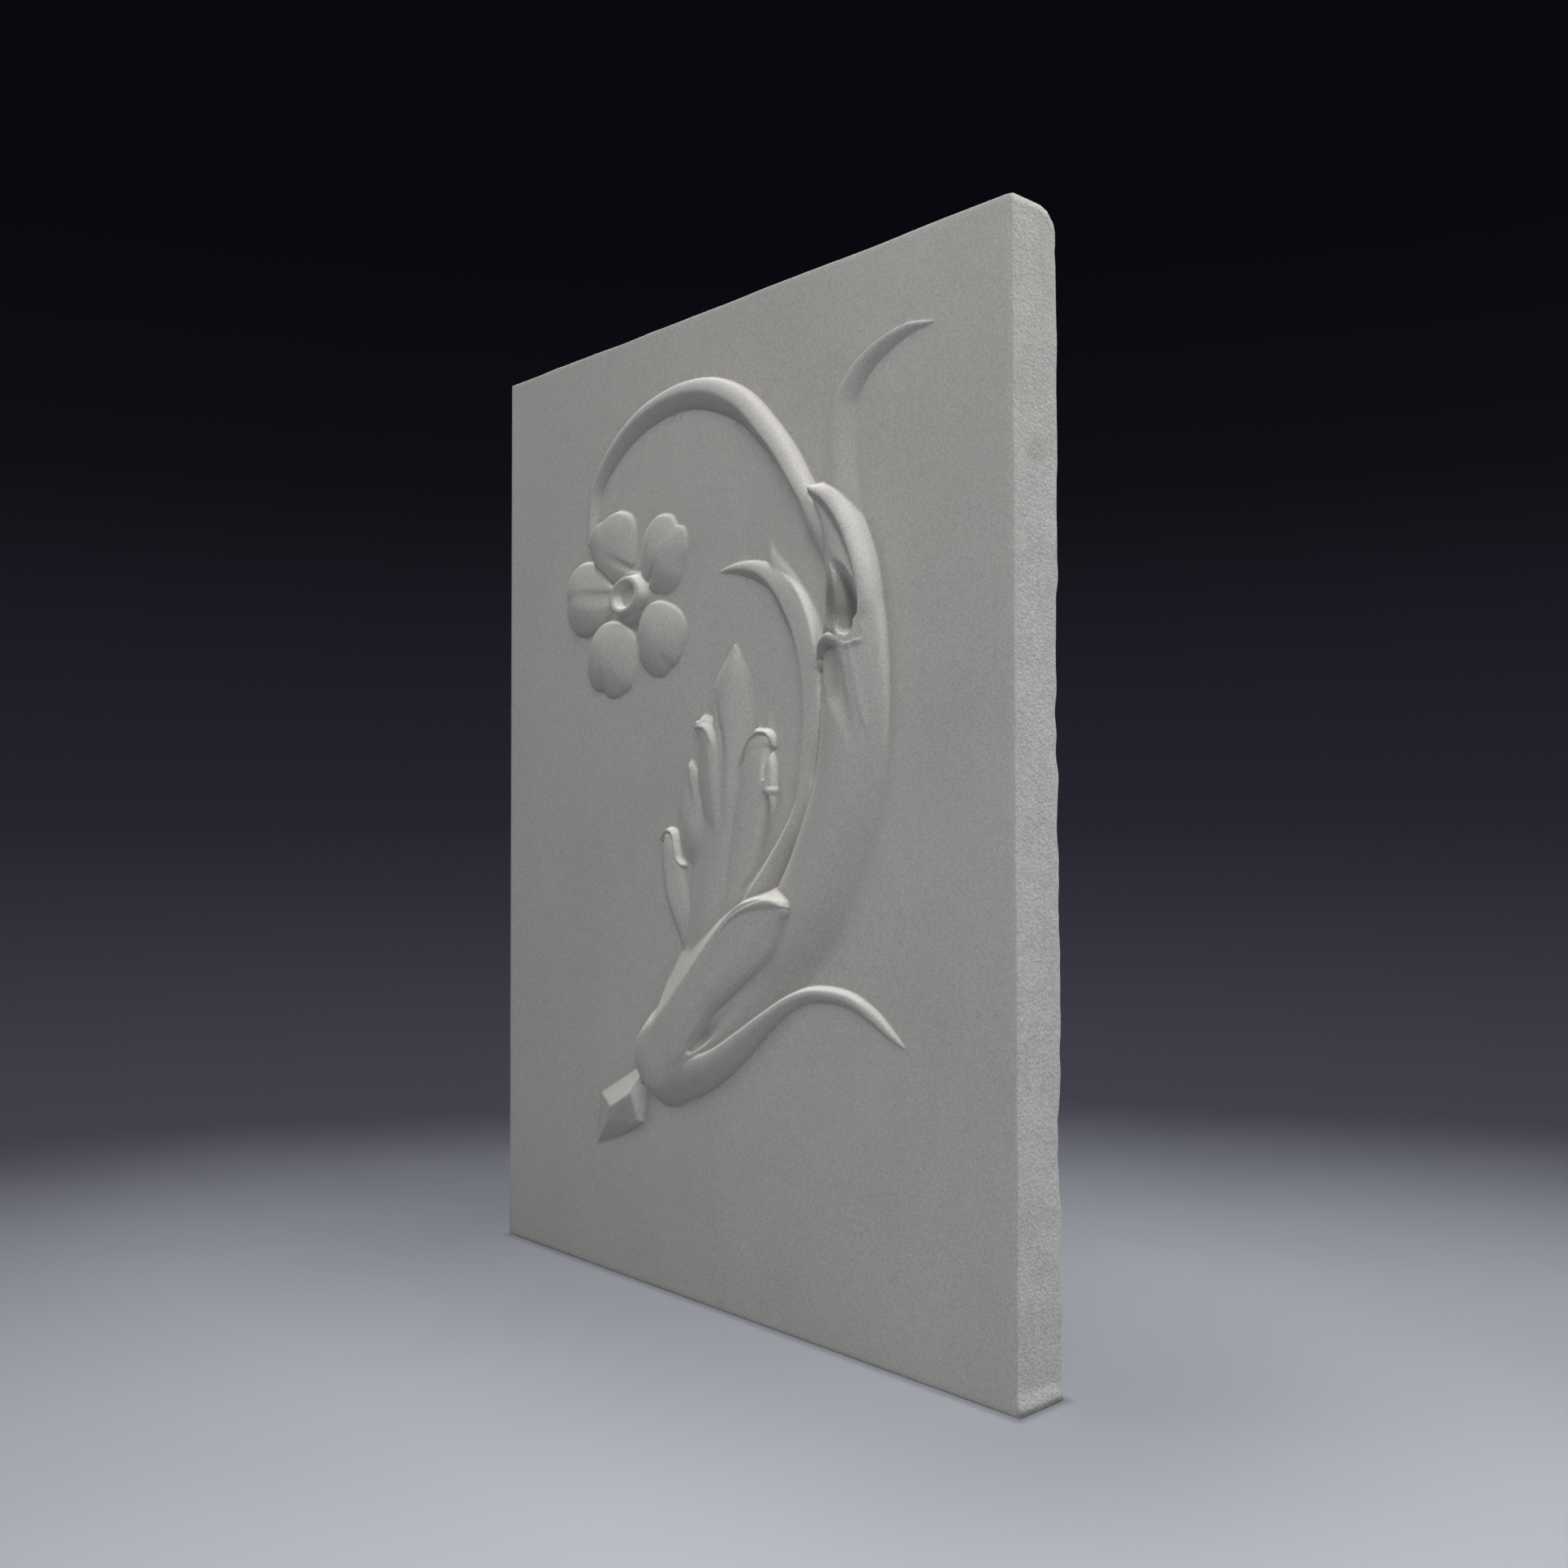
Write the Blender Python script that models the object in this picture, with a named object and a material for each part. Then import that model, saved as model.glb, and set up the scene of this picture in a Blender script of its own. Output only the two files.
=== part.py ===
"""Plaster bas-relief: a slab cast in one piece with its carving, standing on its lower edge.

The carving is a five-petalled flower, a stem that arches over from it into a pair of opening sheaths, a leaf
cluster, two tendrils and the cut end of the stem.

Metres, +Z up. The origin is the middle of the slab's underside. The carved face looks toward -Y.
"""

import bmesh
import bpy
import numpy as np

# The slab.
SLAB_WIDTH = 0.300
SLAB_HEIGHT = 0.400
SLAB_THICKNESS = 0.0250
FRONT_ROUND = 0.0022
BACK_ROUND = 0.0012
BACK_BREAKAGE = 0.0034
OUTLINE_WANDER = 0.0006
TOP_SLOPE_DEPTH = 0.0110
TOP_SLOPE_DROP = 0.0150
TOP_SLOPE_REACH = 0.0600
FOOT_LIP = 0.0012
FOOT_LIP_HEIGHT = 0.0050

# The carving, drawn on a sheet whose unit is a millimetre at the sizes above and which stretches with the slab.
# On the sheet x runs from the left edge, z from the foot, and heights stand on the flat ground.
RELIEF_DEPTH = 0.0124
SHEET_WIDTH = 300.0
SHEET_HEIGHT = 400.0
SHEET_DEPTH = 12.4

# The mesh.
FACE_STEP = 0.0016
SPLINE_STEPS = 12
TRIANGLES = 9400
LEVELLING = 0.00002

PLASTER_COLOUR = (0.58, 0.57, 0.54, 1.0)
PLASTER_ROUGHNESS = 0.92
SMOOTH_ANGLE = np.radians(50)


def blend_up(low, high, reach):
    """The higher of two surfaces, with a fillet where they come within reach of each other."""
    share = np.clip(0.5 + 0.5 * (high - low) / reach, 0, 1)
    return low + (high - low) * share + reach * share * (1 - share)


def blend_down(first, second, reach):
    """The lower of two surfaces, rounded over where they come within reach of each other."""
    return -blend_up(-first, -second, reach)


def spread(values, count):
    """One value, or several evenly spread values, as a value for each of count stations."""
    values = np.atleast_1d(np.asarray(values, float))
    return np.interp(np.linspace(0, 1, count), np.linspace(0, 1, len(values)), values)


def spline(rows):
    """A smooth curve through every row, in all its columns at once."""
    rows = np.asarray(rows, float)
    rows = np.vstack([2 * rows[0] - rows[1], rows, 2 * rows[-1] - rows[-2]])
    t = (np.arange(SPLINE_STEPS) / SPLINE_STEPS)[:, None]
    spans = [
        0.5 * (2 * b + (c - a) * t + (2 * a - 5 * b + 4 * c - d) * t**2 + (3 * b - a - 3 * c + d) * t**3)
        for a, b, c, d in zip(rows[:-3], rows[1:-2], rows[2:-1], rows[3:])
    ]
    return np.vstack(spans + [rows[-2:-1]])


def turned(x, z, degrees):
    """Offsets along and across a direction that many degrees from +X toward +Z."""
    angle = np.radians(degrees)
    return x * np.cos(angle) + z * np.sin(angle), z * np.cos(angle) - x * np.sin(angle)


class Sweep:
    """A strand of stations (x, z, left half width, right half width, crest height), swept along a spline.

    Left and right are seen while travelling along the stations. The pairs (left, right) shape the two flanks: brim
    is the height at the foot of the curved flank, bow and full its curve, and wall the slope from the brim down to
    the ground. Each value in a pair is a number, or numbers spread evenly along the strand.
    """

    def __init__(self, stations, brim=(0, 0), bow=(2, 2), full=(0.5, 0.5), wall=(3, 3), soften=0.8, join=0.8):
        count = len(stations)
        pairs = [spread(value, count) for pair in (brim, full, wall) for value in pair]
        self.line = spline(np.column_stack([stations] + pairs))
        self.bow = bow
        self.soften = soften
        self.join = join

    def nearest(self, x, z):
        """The interpolated station nearest to each place, its distance, and whether the place is on the left."""
        best = np.full(x.shape, np.inf)
        station = np.zeros((len(x), self.line.shape[1]))
        on_left = np.zeros(x.shape, bool)
        for start, end in zip(self.line[:-1], self.line[1:]):
            run = end[:2] - start[:2]
            dx = x - start[0]
            dz = z - start[1]
            share = np.clip((dx * run[0] + dz * run[1]) / (run @ run), 0, 1)
            dx = dx - share * run[0]
            dz = dz - share * run[1]
            distance = np.hypot(dx, dz)
            near = distance < best
            best[near] = distance[near]
            station[near] = start + share[near, None] * (end - start)
            on_left[near] = (run[0] * dz - run[1] * dx)[near] >= 0
        return station, best, on_left

    def profile(self, x, z):
        """Height of the strand over each place."""
        station, distance, on_left = self.nearest(x, z)
        left, right, crest, brim_l, brim_r, full_l, full_r, wall_l, wall_r = station.T[2:]
        width = np.where(on_left, left, right)
        brim = np.where(on_left, brim_l, brim_r)
        bow = np.where(on_left, *self.bow)
        full = np.where(on_left, full_l, full_r)
        wall = np.where(on_left, wall_l, wall_r)
        across = np.clip(distance / np.maximum(width, 1e-6), 0, 1)
        flank = brim + (crest - brim) * (1 - across**bow) ** full
        return blend_down(flank, brim + (width - distance) * wall, self.soften)

    def near(self, x, z):
        """The places that the strand can reach."""
        reach = self.line[:, 2:4].max() + 4
        low = self.line[:, :2].min(axis=0) - reach
        high = self.line[:, :2].max(axis=0) + reach
        return (x > low[0]) & (x < high[0]) & (z > low[1]) & (z < high[1])

    def carve(self, height, x, z):
        """The surface with the strand laid on it."""
        near = self.near(x, z)
        carved = height.copy()
        carved[near] = blend_up(height[near], self.profile(x[near], z[near]), self.join)
        return carved


class Groove(Sweep):
    """A sunk strand: the crest of a station is how deep the groove goes below the surface, down to the ground."""

    def __init__(self, stations, join=0.8, **shape):
        super().__init__(stations, brim=(-join, -join), join=join, **shape)

    def carve(self, height, x, z):
        """The surface with the groove taken out of it."""
        near = self.near(x, z)
        carved = height.copy()
        sunk = blend_down(height[near], height[near] - self.profile(x[near], z[near]), self.join)
        carved[near] = np.maximum(sunk, np.minimum(height[near], 0))
        return carved


class Dome:
    """An egg-shaped lobe at (x, z) that points along turn, with its own reach to the front, back and sides.

    Each notch in its outline has a direction and a width in degrees, and a share of the reach that it takes.
    """

    def __init__(self, place, turn, front, back, side, top, brim, **shape):
        self.place = place
        self.turn = turn
        self.reach = (front, back, side)
        self.top = top
        self.brim = brim
        self.square = shape.get("square", 2.3)
        self.bow = shape.get("bow", 2.2)
        self.full = shape.get("full", 0.7)
        self.lean = shape.get("lean", 0.0)
        self.roll = shape.get("roll", 0.0)
        self.taper = shape.get("taper", 0.0)
        self.wall = shape.get("wall", 2.2)
        self.join = shape.get("join", 0.6)
        self.notches = shape.get("notches", ())

    def carve(self, height, x, z):
        """The surface with the lobe laid on it."""
        front, back, side = self.reach
        along, across = turned(x - self.place[0], z - self.place[1], self.turn)
        tilt = self.lean * along + self.roll * across
        across = across / (1 + self.taper * np.clip(along / back, -1, 1))
        reach = np.where(along >= 0, front, back)
        out = (np.abs(along / reach) ** self.square + np.abs(across / side) ** self.square) ** (1 / self.square)
        angle = np.degrees(np.arctan2(across / side, along / reach))
        for direction, width, bite in self.notches:
            out = out / (1 - bite * np.exp(-(((angle - direction) / width) ** 2)))
        inner = np.clip(out, 0, 1)
        dome = self.brim + (self.top - self.brim) * (1 - inner**self.bow) ** self.full
        dome = dome + tilt * (1 - 0.4 * inner)
        wall = self.brim + (1 - out) * min(front, side) * self.wall
        return blend_up(height, blend_down(dome, wall, 1.2), self.join)


class Ring:
    """An oval ring of round section on a short drum, hollow in the middle: the eye of the flower."""

    def __init__(self, place, turn, length, breadth, tube, level, tilt, bowl):
        self.place = place
        self.turn = turn
        self.half = (length / 2, breadth / 2)
        self.tube = tube
        self.level = level
        self.tilt = tilt
        self.bowl = bowl

    def carve(self, height, x, z):
        """The surface with the ring set in it."""
        length, breadth = self.half
        along, across = turned(x - self.place[0], z - self.place[1], self.turn)
        off = (np.hypot(along / length, across / breadth) - 1) * (length + breadth) / 2
        level = self.level - self.tilt * (x - self.place[0])
        tube = level + np.sqrt(np.clip(self.tube**2 - off**2, 0, None))
        tube = tube - 3 * np.clip(np.abs(off) - self.tube, 0, None)
        drum = level - 0.3 - 4 * np.clip(off - 0.5 * self.tube, 0, None)
        bowl = level - self.bowl * (1 - 0.5 * (np.hypot(along / length, across / breadth)) ** 2)
        inside = off < -0.2 * self.tube
        near = off < 3 * self.tube
        around = blend_up(height, blend_up(tube, drum, 0.5), 0.6)
        return np.where(inside, np.maximum(tube, bowl), np.where(near, around, height))


class CutEnd:
    """A block of flat facets around a point, the lowest facet winning: (along, across, height, two gradients)."""

    def __init__(self, place, turn, facets):
        self.place = place
        self.turn = turn
        self.facets = facets

    def carve(self, height, x, z):
        """The surface with the block laid on it."""
        along, across = turned(x - self.place[0], z - self.place[1], self.turn)
        block = None
        for place_a, place_c, level, rise_a, rise_c in self.facets:
            facet = level + rise_a * (along - place_a) + rise_c * (across - place_c)
            block = facet if block is None else blend_down(block, facet, 0.5)
        return blend_up(height, block, 0.5)


def arched_stem():
    """The stem that leaves the flower, arches over and thickens on its way down into the sheath."""
    stations = [
        (66, 315, 2.4, 2.8, 2.2),
        (67.2, 325.1, 3.0, 3.2, 2.6),
        (69.7, 336.9, 3.6, 3.8, 3.0),
        (75.9, 345.6, 4.0, 4.2, 3.5),
        (85.4, 353.6, 4.6, 4.6, 4.0),
        (96.4, 360, 5.1, 4.9, 4.5),
        (108.8, 364.4, 5.6, 5.2, 5.0),
        (126.2, 367.1, 5.9, 5.6, 5.6),
        (142.4, 366.3, 6.0, 6.6, 6.0),
        (156.4, 362, 6.2, 7.2, 6.3),
        (169.6, 354.2, 6.2, 6.6, 6.7),
        (181.6, 342.7, 6.2, 5.9, 7.0),
        (192.7, 330.4, 5.8, 5.0, 7.3),
        (202.5, 316.6, 5.2, 4.2, 7.4),
        (211, 303, 4.5, 4.0, 5.5),
    ]
    return [Sweep(stations, bow=(1.7, 1.35), full=(0.6, (0.8, 0.8, 0.8, 0.75, 0.7)), join=0.5)]


def upper_tendril():
    """The flat leaf that stands behind the sheath and bends over to the right into a point."""
    stations = [
        (228, 286, 8.0, 8.0, 5.0),
        (223.5, 305, 8.0, 8.0, 4.6),
        (220.5, 322, 7.0, 8.5, 3.8),
        (219.5, 334, 4.5, 9.0, 3.6),
        (221.5, 346, 2.6, 8.0, 3.8),
        (227, 354, 2.0, 6.6, 3.8),
        (234.5, 360, 1.7, 5.6, 3.4),
        (244, 364, 1.5, 4.6, 2.8),
        (254.5, 366, 1.3, 3.0, 2.0),
        (265.5, 365, 0.5, 0.6, 0.5),
    ]
    return [Sweep(stations, bow=(2, 1.7), full=(0.6, 1.0), soften=0.4, join=0.5)]


def horn():
    """The broad curved body, like a horn, that rises from the bulb to the sheath's mouth."""
    stations = [
        (150, 116, 12.0, 8.0, 4.0),
        (172, 130, 15.0, 10.0, 6.0),
        (190, 145, 17.0, 17.0, 7.2),
        (205, 164, 17.0, 22.0, 8.2),
        (216, 186, 16.0, 21.0, 8.8),
        (223.5, 207, 15.0, 19.0, 9.0),
        (227.5, 230, 16.0, 17.2, 9.0),
        (228.5, 250, 16.0, 16.0, 8.8),
        (227.5, 268, 15.0, 14.8, 8.4),
        (225, 284, 11.0, 12.5, 7.4),
        (219.5, 300, 7.0, 10.0, 6.6),
        (212, 312, 3.0, 3.0, 6.0),
    ]
    right_full = (1.2, 1.6, 1.6, 1.0, 0.6, 0.52, 0.55, 0.7)
    return [Sweep(stations, bow=(2, 2.2), full=(0.6, right_full), join=1.2)]


def inner_leaf():
    """The long thin leaf along the horn's left side, whose tip curls over to the left, and the faint one behind."""
    leaf = [
        (169.5, 158.5, 6.0, 6.0, 5.0),
        (188, 178, 6.0, 5.0, 5.5),
        (201.5, 197, 5.0, 4.5, 5.5),
        (203.8, 211.7, 3.4, 4.6, 5.4),
        (205.6, 229.5, 2.2, 6.0, 5.2),
        (203.9, 248.3, 2.4, 7.5, 5.0),
        (199.3, 263.6, 2.8, 8.5, 4.8),
        (192.2, 276, 3.2, 8.0, 4.6),
        (183.9, 285, 3.6, 5.5, 4.2),
        (174.7, 289.9, 3.6, 4.2, 3.4),
        (163.7, 292.1, 2.2, 2.6, 2.0),
        (153.3, 292.2, 0.6, 0.6, 0.7),
    ]
    left_brim = (0, 0, 1, 2, 2.4, 2, 1.5, 0.8, 0.3, 0, 0, 0)
    right_brim = (2, 2.5, 3.5, 4.4, 4.6, 4.5, 4.2, 3.2, 1.2, 0, 0, 0)
    faint = [
        (209.4, 251.3, 5.0, 4.0, 4.8),
        (202.4, 267.3, 6.0, 4.6, 3.8),
        (193, 281.4, 6.0, 4.2, 2.8),
        (185, 291.6, 3.0, 3.4, 1.8),
        (182.7, 299.3, 0.6, 0.8, 0.6),
    ]
    return [
        Sweep(leaf, brim=(left_brim, right_brim), bow=(1.5, 1.8), full=(0.9, 0.8), wall=(3, 2.5), soften=0.6, join=0.5),
        Sweep(faint, brim=((4, 3, 2, 1, 0.2), (3.6, 2.4, 1.6, 0.6, 0)), bow=(1.5, 1.5), full=(1, 1),
              wall=((1, 1, 0.8, 0.6, 0.6), 1.2), soften=1.0, join=1.0),
    ]


def leaf_cluster():
    """The body of the leaf cluster, its pointed middle leaf and the hollow beside that leaf."""
    body = [
        (138, 119, 10.0, 10.0, 4.0),
        (145.5, 141, 14.0, 13.0, 5.5),
        (152, 158.5, 18.0, 14.0, 6.0),
        (156.5, 174.5, 20.0, 15.0, 5.6),
        (158, 190, 18.0, 16.0, 4.6),
        (158.5, 204, 12.0, 12.0, 3.0),
    ]
    middle = [
        (158, 170.5, 8.0, 8.0, 5.0),
        (161.5, 198, 9.0, 9.0, 4.8),
        (161.2, 218.7, 10.0, 11.5, 4.5),
        (160.3, 237.5, 10.0, 12.5, 4.2),
        (161.4, 249.5, 8.8, 9.6, 3.4),
        (162.1, 261.3, 0.9, 1.6, 1.4),
    ]
    hollow = [
        (153.5, 242.6, 2.0, 2.4, 0.0),
        (155, 232.7, 4.0, 4.4, 1.8),
        (157.7, 221.8, 4.6, 5.0, 1.8),
        (159, 205.9, 3.4, 4.0, 0.0),
    ]
    return [
        Sweep(body, full=(1, 1), wall=(1, 1), join=1.5),
        Sweep(middle, brim=((1.5, 1.8, 2, 2, 1.6, 0.5), (1, 0.6, 0, 0, 0, 0)), bow=(1.8, 1.6), full=(0.9, 1.2),
              wall=(3, 1.5)),
        Groove(hollow, full=(1.2, 1.2), wall=(0.5, 0.5), join=1.0),
    ]


def curled_leaf():
    """The left leaf of the cluster, whose top folds over, and the soft low leaf at its left."""
    leaf = [
        (158, 168, 4.0, 6.0, 5.0),
        (157.3, 184.1, 7.0, 6.0, 5.0),
        (154.4, 196.9, 9.0, 6.0, 5.0),
        (152.4, 209.8, 11.0, 5.0, 5.0),
        (151.2, 221.6, 10.5, 4.6, 5.2),
        (148, 228.5, 7.0, 3.4, 5.0),
        (144.1, 231.5, 3.0, 1.6, 4.4),
    ]
    fold = [
        (152.5, 218.2, 0.6, 0.9, 4.2),
        (152.2, 224.1, 1.2, 1.6, 5.2),
        (148.8, 229.5, 1.8, 2.0, 5.6),
        (144.1, 230.9, 1.2, 1.4, 5.1),
        (140.6, 230.4, 0.7, 0.6, 4.0),
    ]
    tip = [
        (141.2, 199, 6.0, 6.0, 2.6),
        (137.5, 207.9, 4.0, 6.0, 2.6),
        (135, 215.4, 1.8, 2.4, 2.4),
    ]
    return [
        Dome((138.5, 190), 95, 21, 15, 11.5, 3.8, 0, square=2, bow=1.7, full=1, wall=2, join=1.5),
        Sweep(tip, bow=(1.5, 1.6), full=(1, 1), wall=(1.2, 1.5), join=1.6),
        Sweep(leaf, brim=((2, 2.4, 2.4, 2.2, 2.2, 3, 3.6), (4, 3.6, 3.2, 2.8, 2.4, 3, 3.6)), bow=(1.3, 1.8), full=(1, 1),
              wall=(3, 1.2), join=0.5),
        Sweep(fold, brim=((4, 4.2, 4.2, 4, 3), (3, 3, 3, 3, 3)), bow=(1.5, 1.4), full=(1, 1), wall=(2.5, 2.4), soften=0.5,
              join=0.4),
    ]


def low_leaf():
    """The lowest leaf of the cluster, on the left, with the rim that curls back from its tip."""
    leaf = [
        (133, 144, 4.0, 6.0, 1.2),
        (124.2, 162.3, 4.4, 7.0, 3.2),
        (121.7, 174.2, 4.2, 6.0, 3.2),
        (120.8, 181.1, 3.8, 4.6, 3.2),
        (121, 186.1, 2.6, 2.2, 2.8),
    ]
    rim = [
        (117, 185.7, 0.6, 0.7, 2.4),
        (120.8, 189, 0.8, 1.0, 3.2),
        (125.2, 188, 0.9, 1.1, 3.6),
        (126.9, 183.1, 0.8, 1.2, 3.8),
        (127.8, 177.9, 0.7, 1.0, 3.5),
        (130.5, 175.1, 0.6, 0.7, 3.0),
    ]
    return [
        Sweep(leaf, brim=(0.5, (0.5, 1.6, 2.2, 2.2, 2)), bow=(2, 1.6), full=(0.8, 1), wall=(2.5, 0.9), join=1.0),
        Sweep(rim, brim=((2, 2.2, 2.4, 2.4, 2.2, 2), (1, 1.6, 1.8, 1.8, 1.6, 1.4)), bow=(2, 1.8), full=(0.8, 0.8),
              wall=(3, 2), soften=0.5, join=0.7),
    ]


def hooded_leaf():
    """The right leaf of the cluster, with a fold over its tip like a hood, a bud and a slot beside it."""
    leaf = [
        (161, 155.5, 7.0, 8.0, 5.0),
        (167.4, 178.2, 8.0, 9.0, 5.2),
        (173.4, 199.9, 8.4, 10.8, 4.9),
        (175.3, 212.8, 7.4, 10.0, 4.4),
        (175.4, 220.7, 5.4, 7.5, 3.6),
    ]
    fold = [
        (165.8, 210.8, 0.6, 0.8, 2.8),
        (168.1, 217.2, 0.7, 1.0, 3.5),
        (172, 223.3, 0.8, 1.1, 4.0),
        (177.1, 226.8, 0.8, 1.1, 4.3),
        (181.8, 227, 0.8, 1.2, 4.0),
        (184.3, 225.1, 0.7, 1.2, 3.5),
        (184.7, 221.8, 0.5, 0.8, 2.2),
    ]
    slot = [
        (182.6, 223.4, 1.0, 0.9, 0.8),
        (182.8, 220.2, 2.1, 1.9, 2.8),
        (181.8, 213.9, 1.5, 1.5, 2.2),
        (181.8, 209.4, 1.2, 1.2, 1.4),
    ]
    furrow = [
        (182.9, 203, 2.2, 2.0, 2.4),
        (181.7, 197, 3.0, 2.4, 3.8),
        (179.6, 188.5, 3.0, 2.4, 3.8),
        (176.9, 180.1, 2.6, 2.0, 3.0),
        (173.7, 171.7, 2.0, 1.6, 2.0),
        (168.9, 164.3, 1.2, 1.0, 0.0),
    ]
    return [
        Sweep(leaf, brim=((1.1, 1.1, 1.5, 1.8, 2), (2, 3, 3.6, 3.2, 2.4)), bow=(2, 1.8), full=(0.6, 0.9), wall=(3, 2.5)),
        Sweep(fold, brim=(2.2, (2, 2, 2.4, 2.6, 2.6, 2.4, 1.6)), full=(1, 1), wall=(3.5, 3), soften=0.4, join=0.4),
        Groove(slot, full=(0.9, 0.9), wall=(2, 2), join=0.5),
        Groove(furrow, bow=(2.5, 2.5), full=(0.9, 0.9), wall=(2, 2), join=0.4),
        Dome((184.4, 204.5), 60, 1.7, 1.7, 1.6, 4.8, 3.4, bow=2, full=0.8, wall=3.5, join=0.5),
    ]


def upper_sheath():
    """The sheath's mouth: a crest that runs up to the lip under the stem, and the hollow that opens beside it."""
    crest = [
        (235.5, 249, 3.0, 3.0, 6.2),
        (237.5, 258, 2.6, 4.4, 7.0),
        (235.9, 263.6, 3.0, 4.6, 7.8),
        (236.7, 271.3, 5.0, 4.8, 8.5),
        (235.4, 281.9, 6.6, 4.4, 9.2),
        (232, 291.7, 7.2, 4.2, 9.4),
        (227.2, 300.9, 7.4, 4.2, 9.4),
        (219.6, 309.6, 6.0, 4.6, 9.2),
        (210.5, 314.9, 2.0, 2.0, 7.8),
    ]
    inner_brim = (5, 5, 4.6, 3.6, 3.4, 4.4, 5.0, 5.2, 5.4)
    outer_brim = (5, 2, 0.5, 0.5, 1, 2, 3, 4, 5)
    hollow = [
        (222, 287, 3.0, 1.2, 0.6),
        (225.6, 280, 6.0, 2.2, 3.4),
        (227.6, 272.5, 8.0, 3.0, 5.4),
        (228.4, 267, 8.0, 4.0, 6.4),
        (229, 263.4, 5.0, 4.0, 6.4),
    ]
    inside = [
        (205.5, 312, 2.6, 3.0, 6.6),
        (211, 303.6, 4.0, 5.0, 6.2),
        (217, 296.6, 4.6, 6.0, 5.6),
        (222.4, 289.5, 4.6, 6.0, 5.0),
        (227, 283, 3.0, 4.0, 4.2),
    ]
    return [
        Sweep(inside, brim=((5.6, 5.2, 4.6, 4, 3), 4), bow=(1.6, 2), full=(1, 1), wall=(2.5, 2), soften=0.5, join=0.4),
        Sweep(crest, brim=(inner_brim, outer_brim), bow=(1.0, 2), full=((1, 1, 1, 1.1, 1.3, 1.4, 1.4, 1.3, 1), 0.9),
              wall=(3.5, 3.5), join=0.5),
        Groove(hollow, bow=(1.5, 2), full=(0.8, 0.5), soften=0.6, join=0.5),
    ]


def middle_sheath():
    """The lip of the second sheath, below the mouth, the scoop under it and the ridge that runs down from it."""
    scoop = [
        (220.6, 257.1, 6.5, 7.0, 3.0),
        (222.1, 250.2, 8.5, 8.0, 3.2),
        (225.7, 240.2, 8.5, 6.6, 2.2),
        (230.6, 230.3, 6.0, 4.4, 1.0),
        (234.3, 220.4, 3.0, 3.0, 0.0),
    ]
    lip = [
        (213.4, 253.6, 2.0, 1.4, 4.8),
        (215.1, 257.2, 2.8, 2.2, 6.4),
        (219.5, 259.8, 3.2, 3.0, 7.9),
        (225.3, 258.2, 3.6, 3.6, 8.8),
        (231, 255.8, 3.4, 3.6, 9.3),
        (235.6, 257.2, 2.6, 2.8, 9.2),
    ]
    ridge = [
        (239, 220, 2.0, 2.0, 4.0),
        (238, 228, 3.6, 3.2, 7.4),
        (235.5, 242, 5.0, 4.4, 8.4),
        (233.5, 250, 4.6, 4.2, 8.8),
        (232, 256, 3.0, 3.0, 9.0),
    ]
    inner_brim = (3.4, 4.4, 5.2, 5.4, 6, 6.4)
    return [
        Groove(scoop, bow=(2, 2), full=(1.6, 0.9), join=1.0),
        Sweep(lip, brim=((4, 3, 1, 1, 1, 1), inner_brim), bow=(2, 1.5), full=(0.55, 1), wall=(3, 2.0), soften=0.9,
              join=0.9),
        Sweep(ridge, brim=((0, 3.4, 4.6, 4.8, 5), (0, 2.6, 3.4, 4, 5)), bow=(1.7, 1.6), full=(1, 1), wall=(1, 3), join=1.2),
    ]


def bulb():
    """The bulb at the foot of the plant, and the floor of the notch that opens on its right."""
    floor = [
        (135, 100, 10.0, 10.0, 10.0),
        (150, 109, 10.0, 10.0, 7.6),
        (168, 122, 11.0, 11.0, 6.4),
        (185, 137, 13.0, 12.0, 6.2),
        (200, 152, 14.0, 12.0, 6.5),
    ]
    return [
        Dome((123, 98), 34, 38, 22, 20.6, 12.1, 0, square=2.2, full=0.5, wall=1.3, join=0.9),
        Sweep(floor, brim=(4, (4, 4, 3, 2, 2)), full=(1, 1), wall=(0.8, 0.8), join=1.5),
    ]


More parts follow.
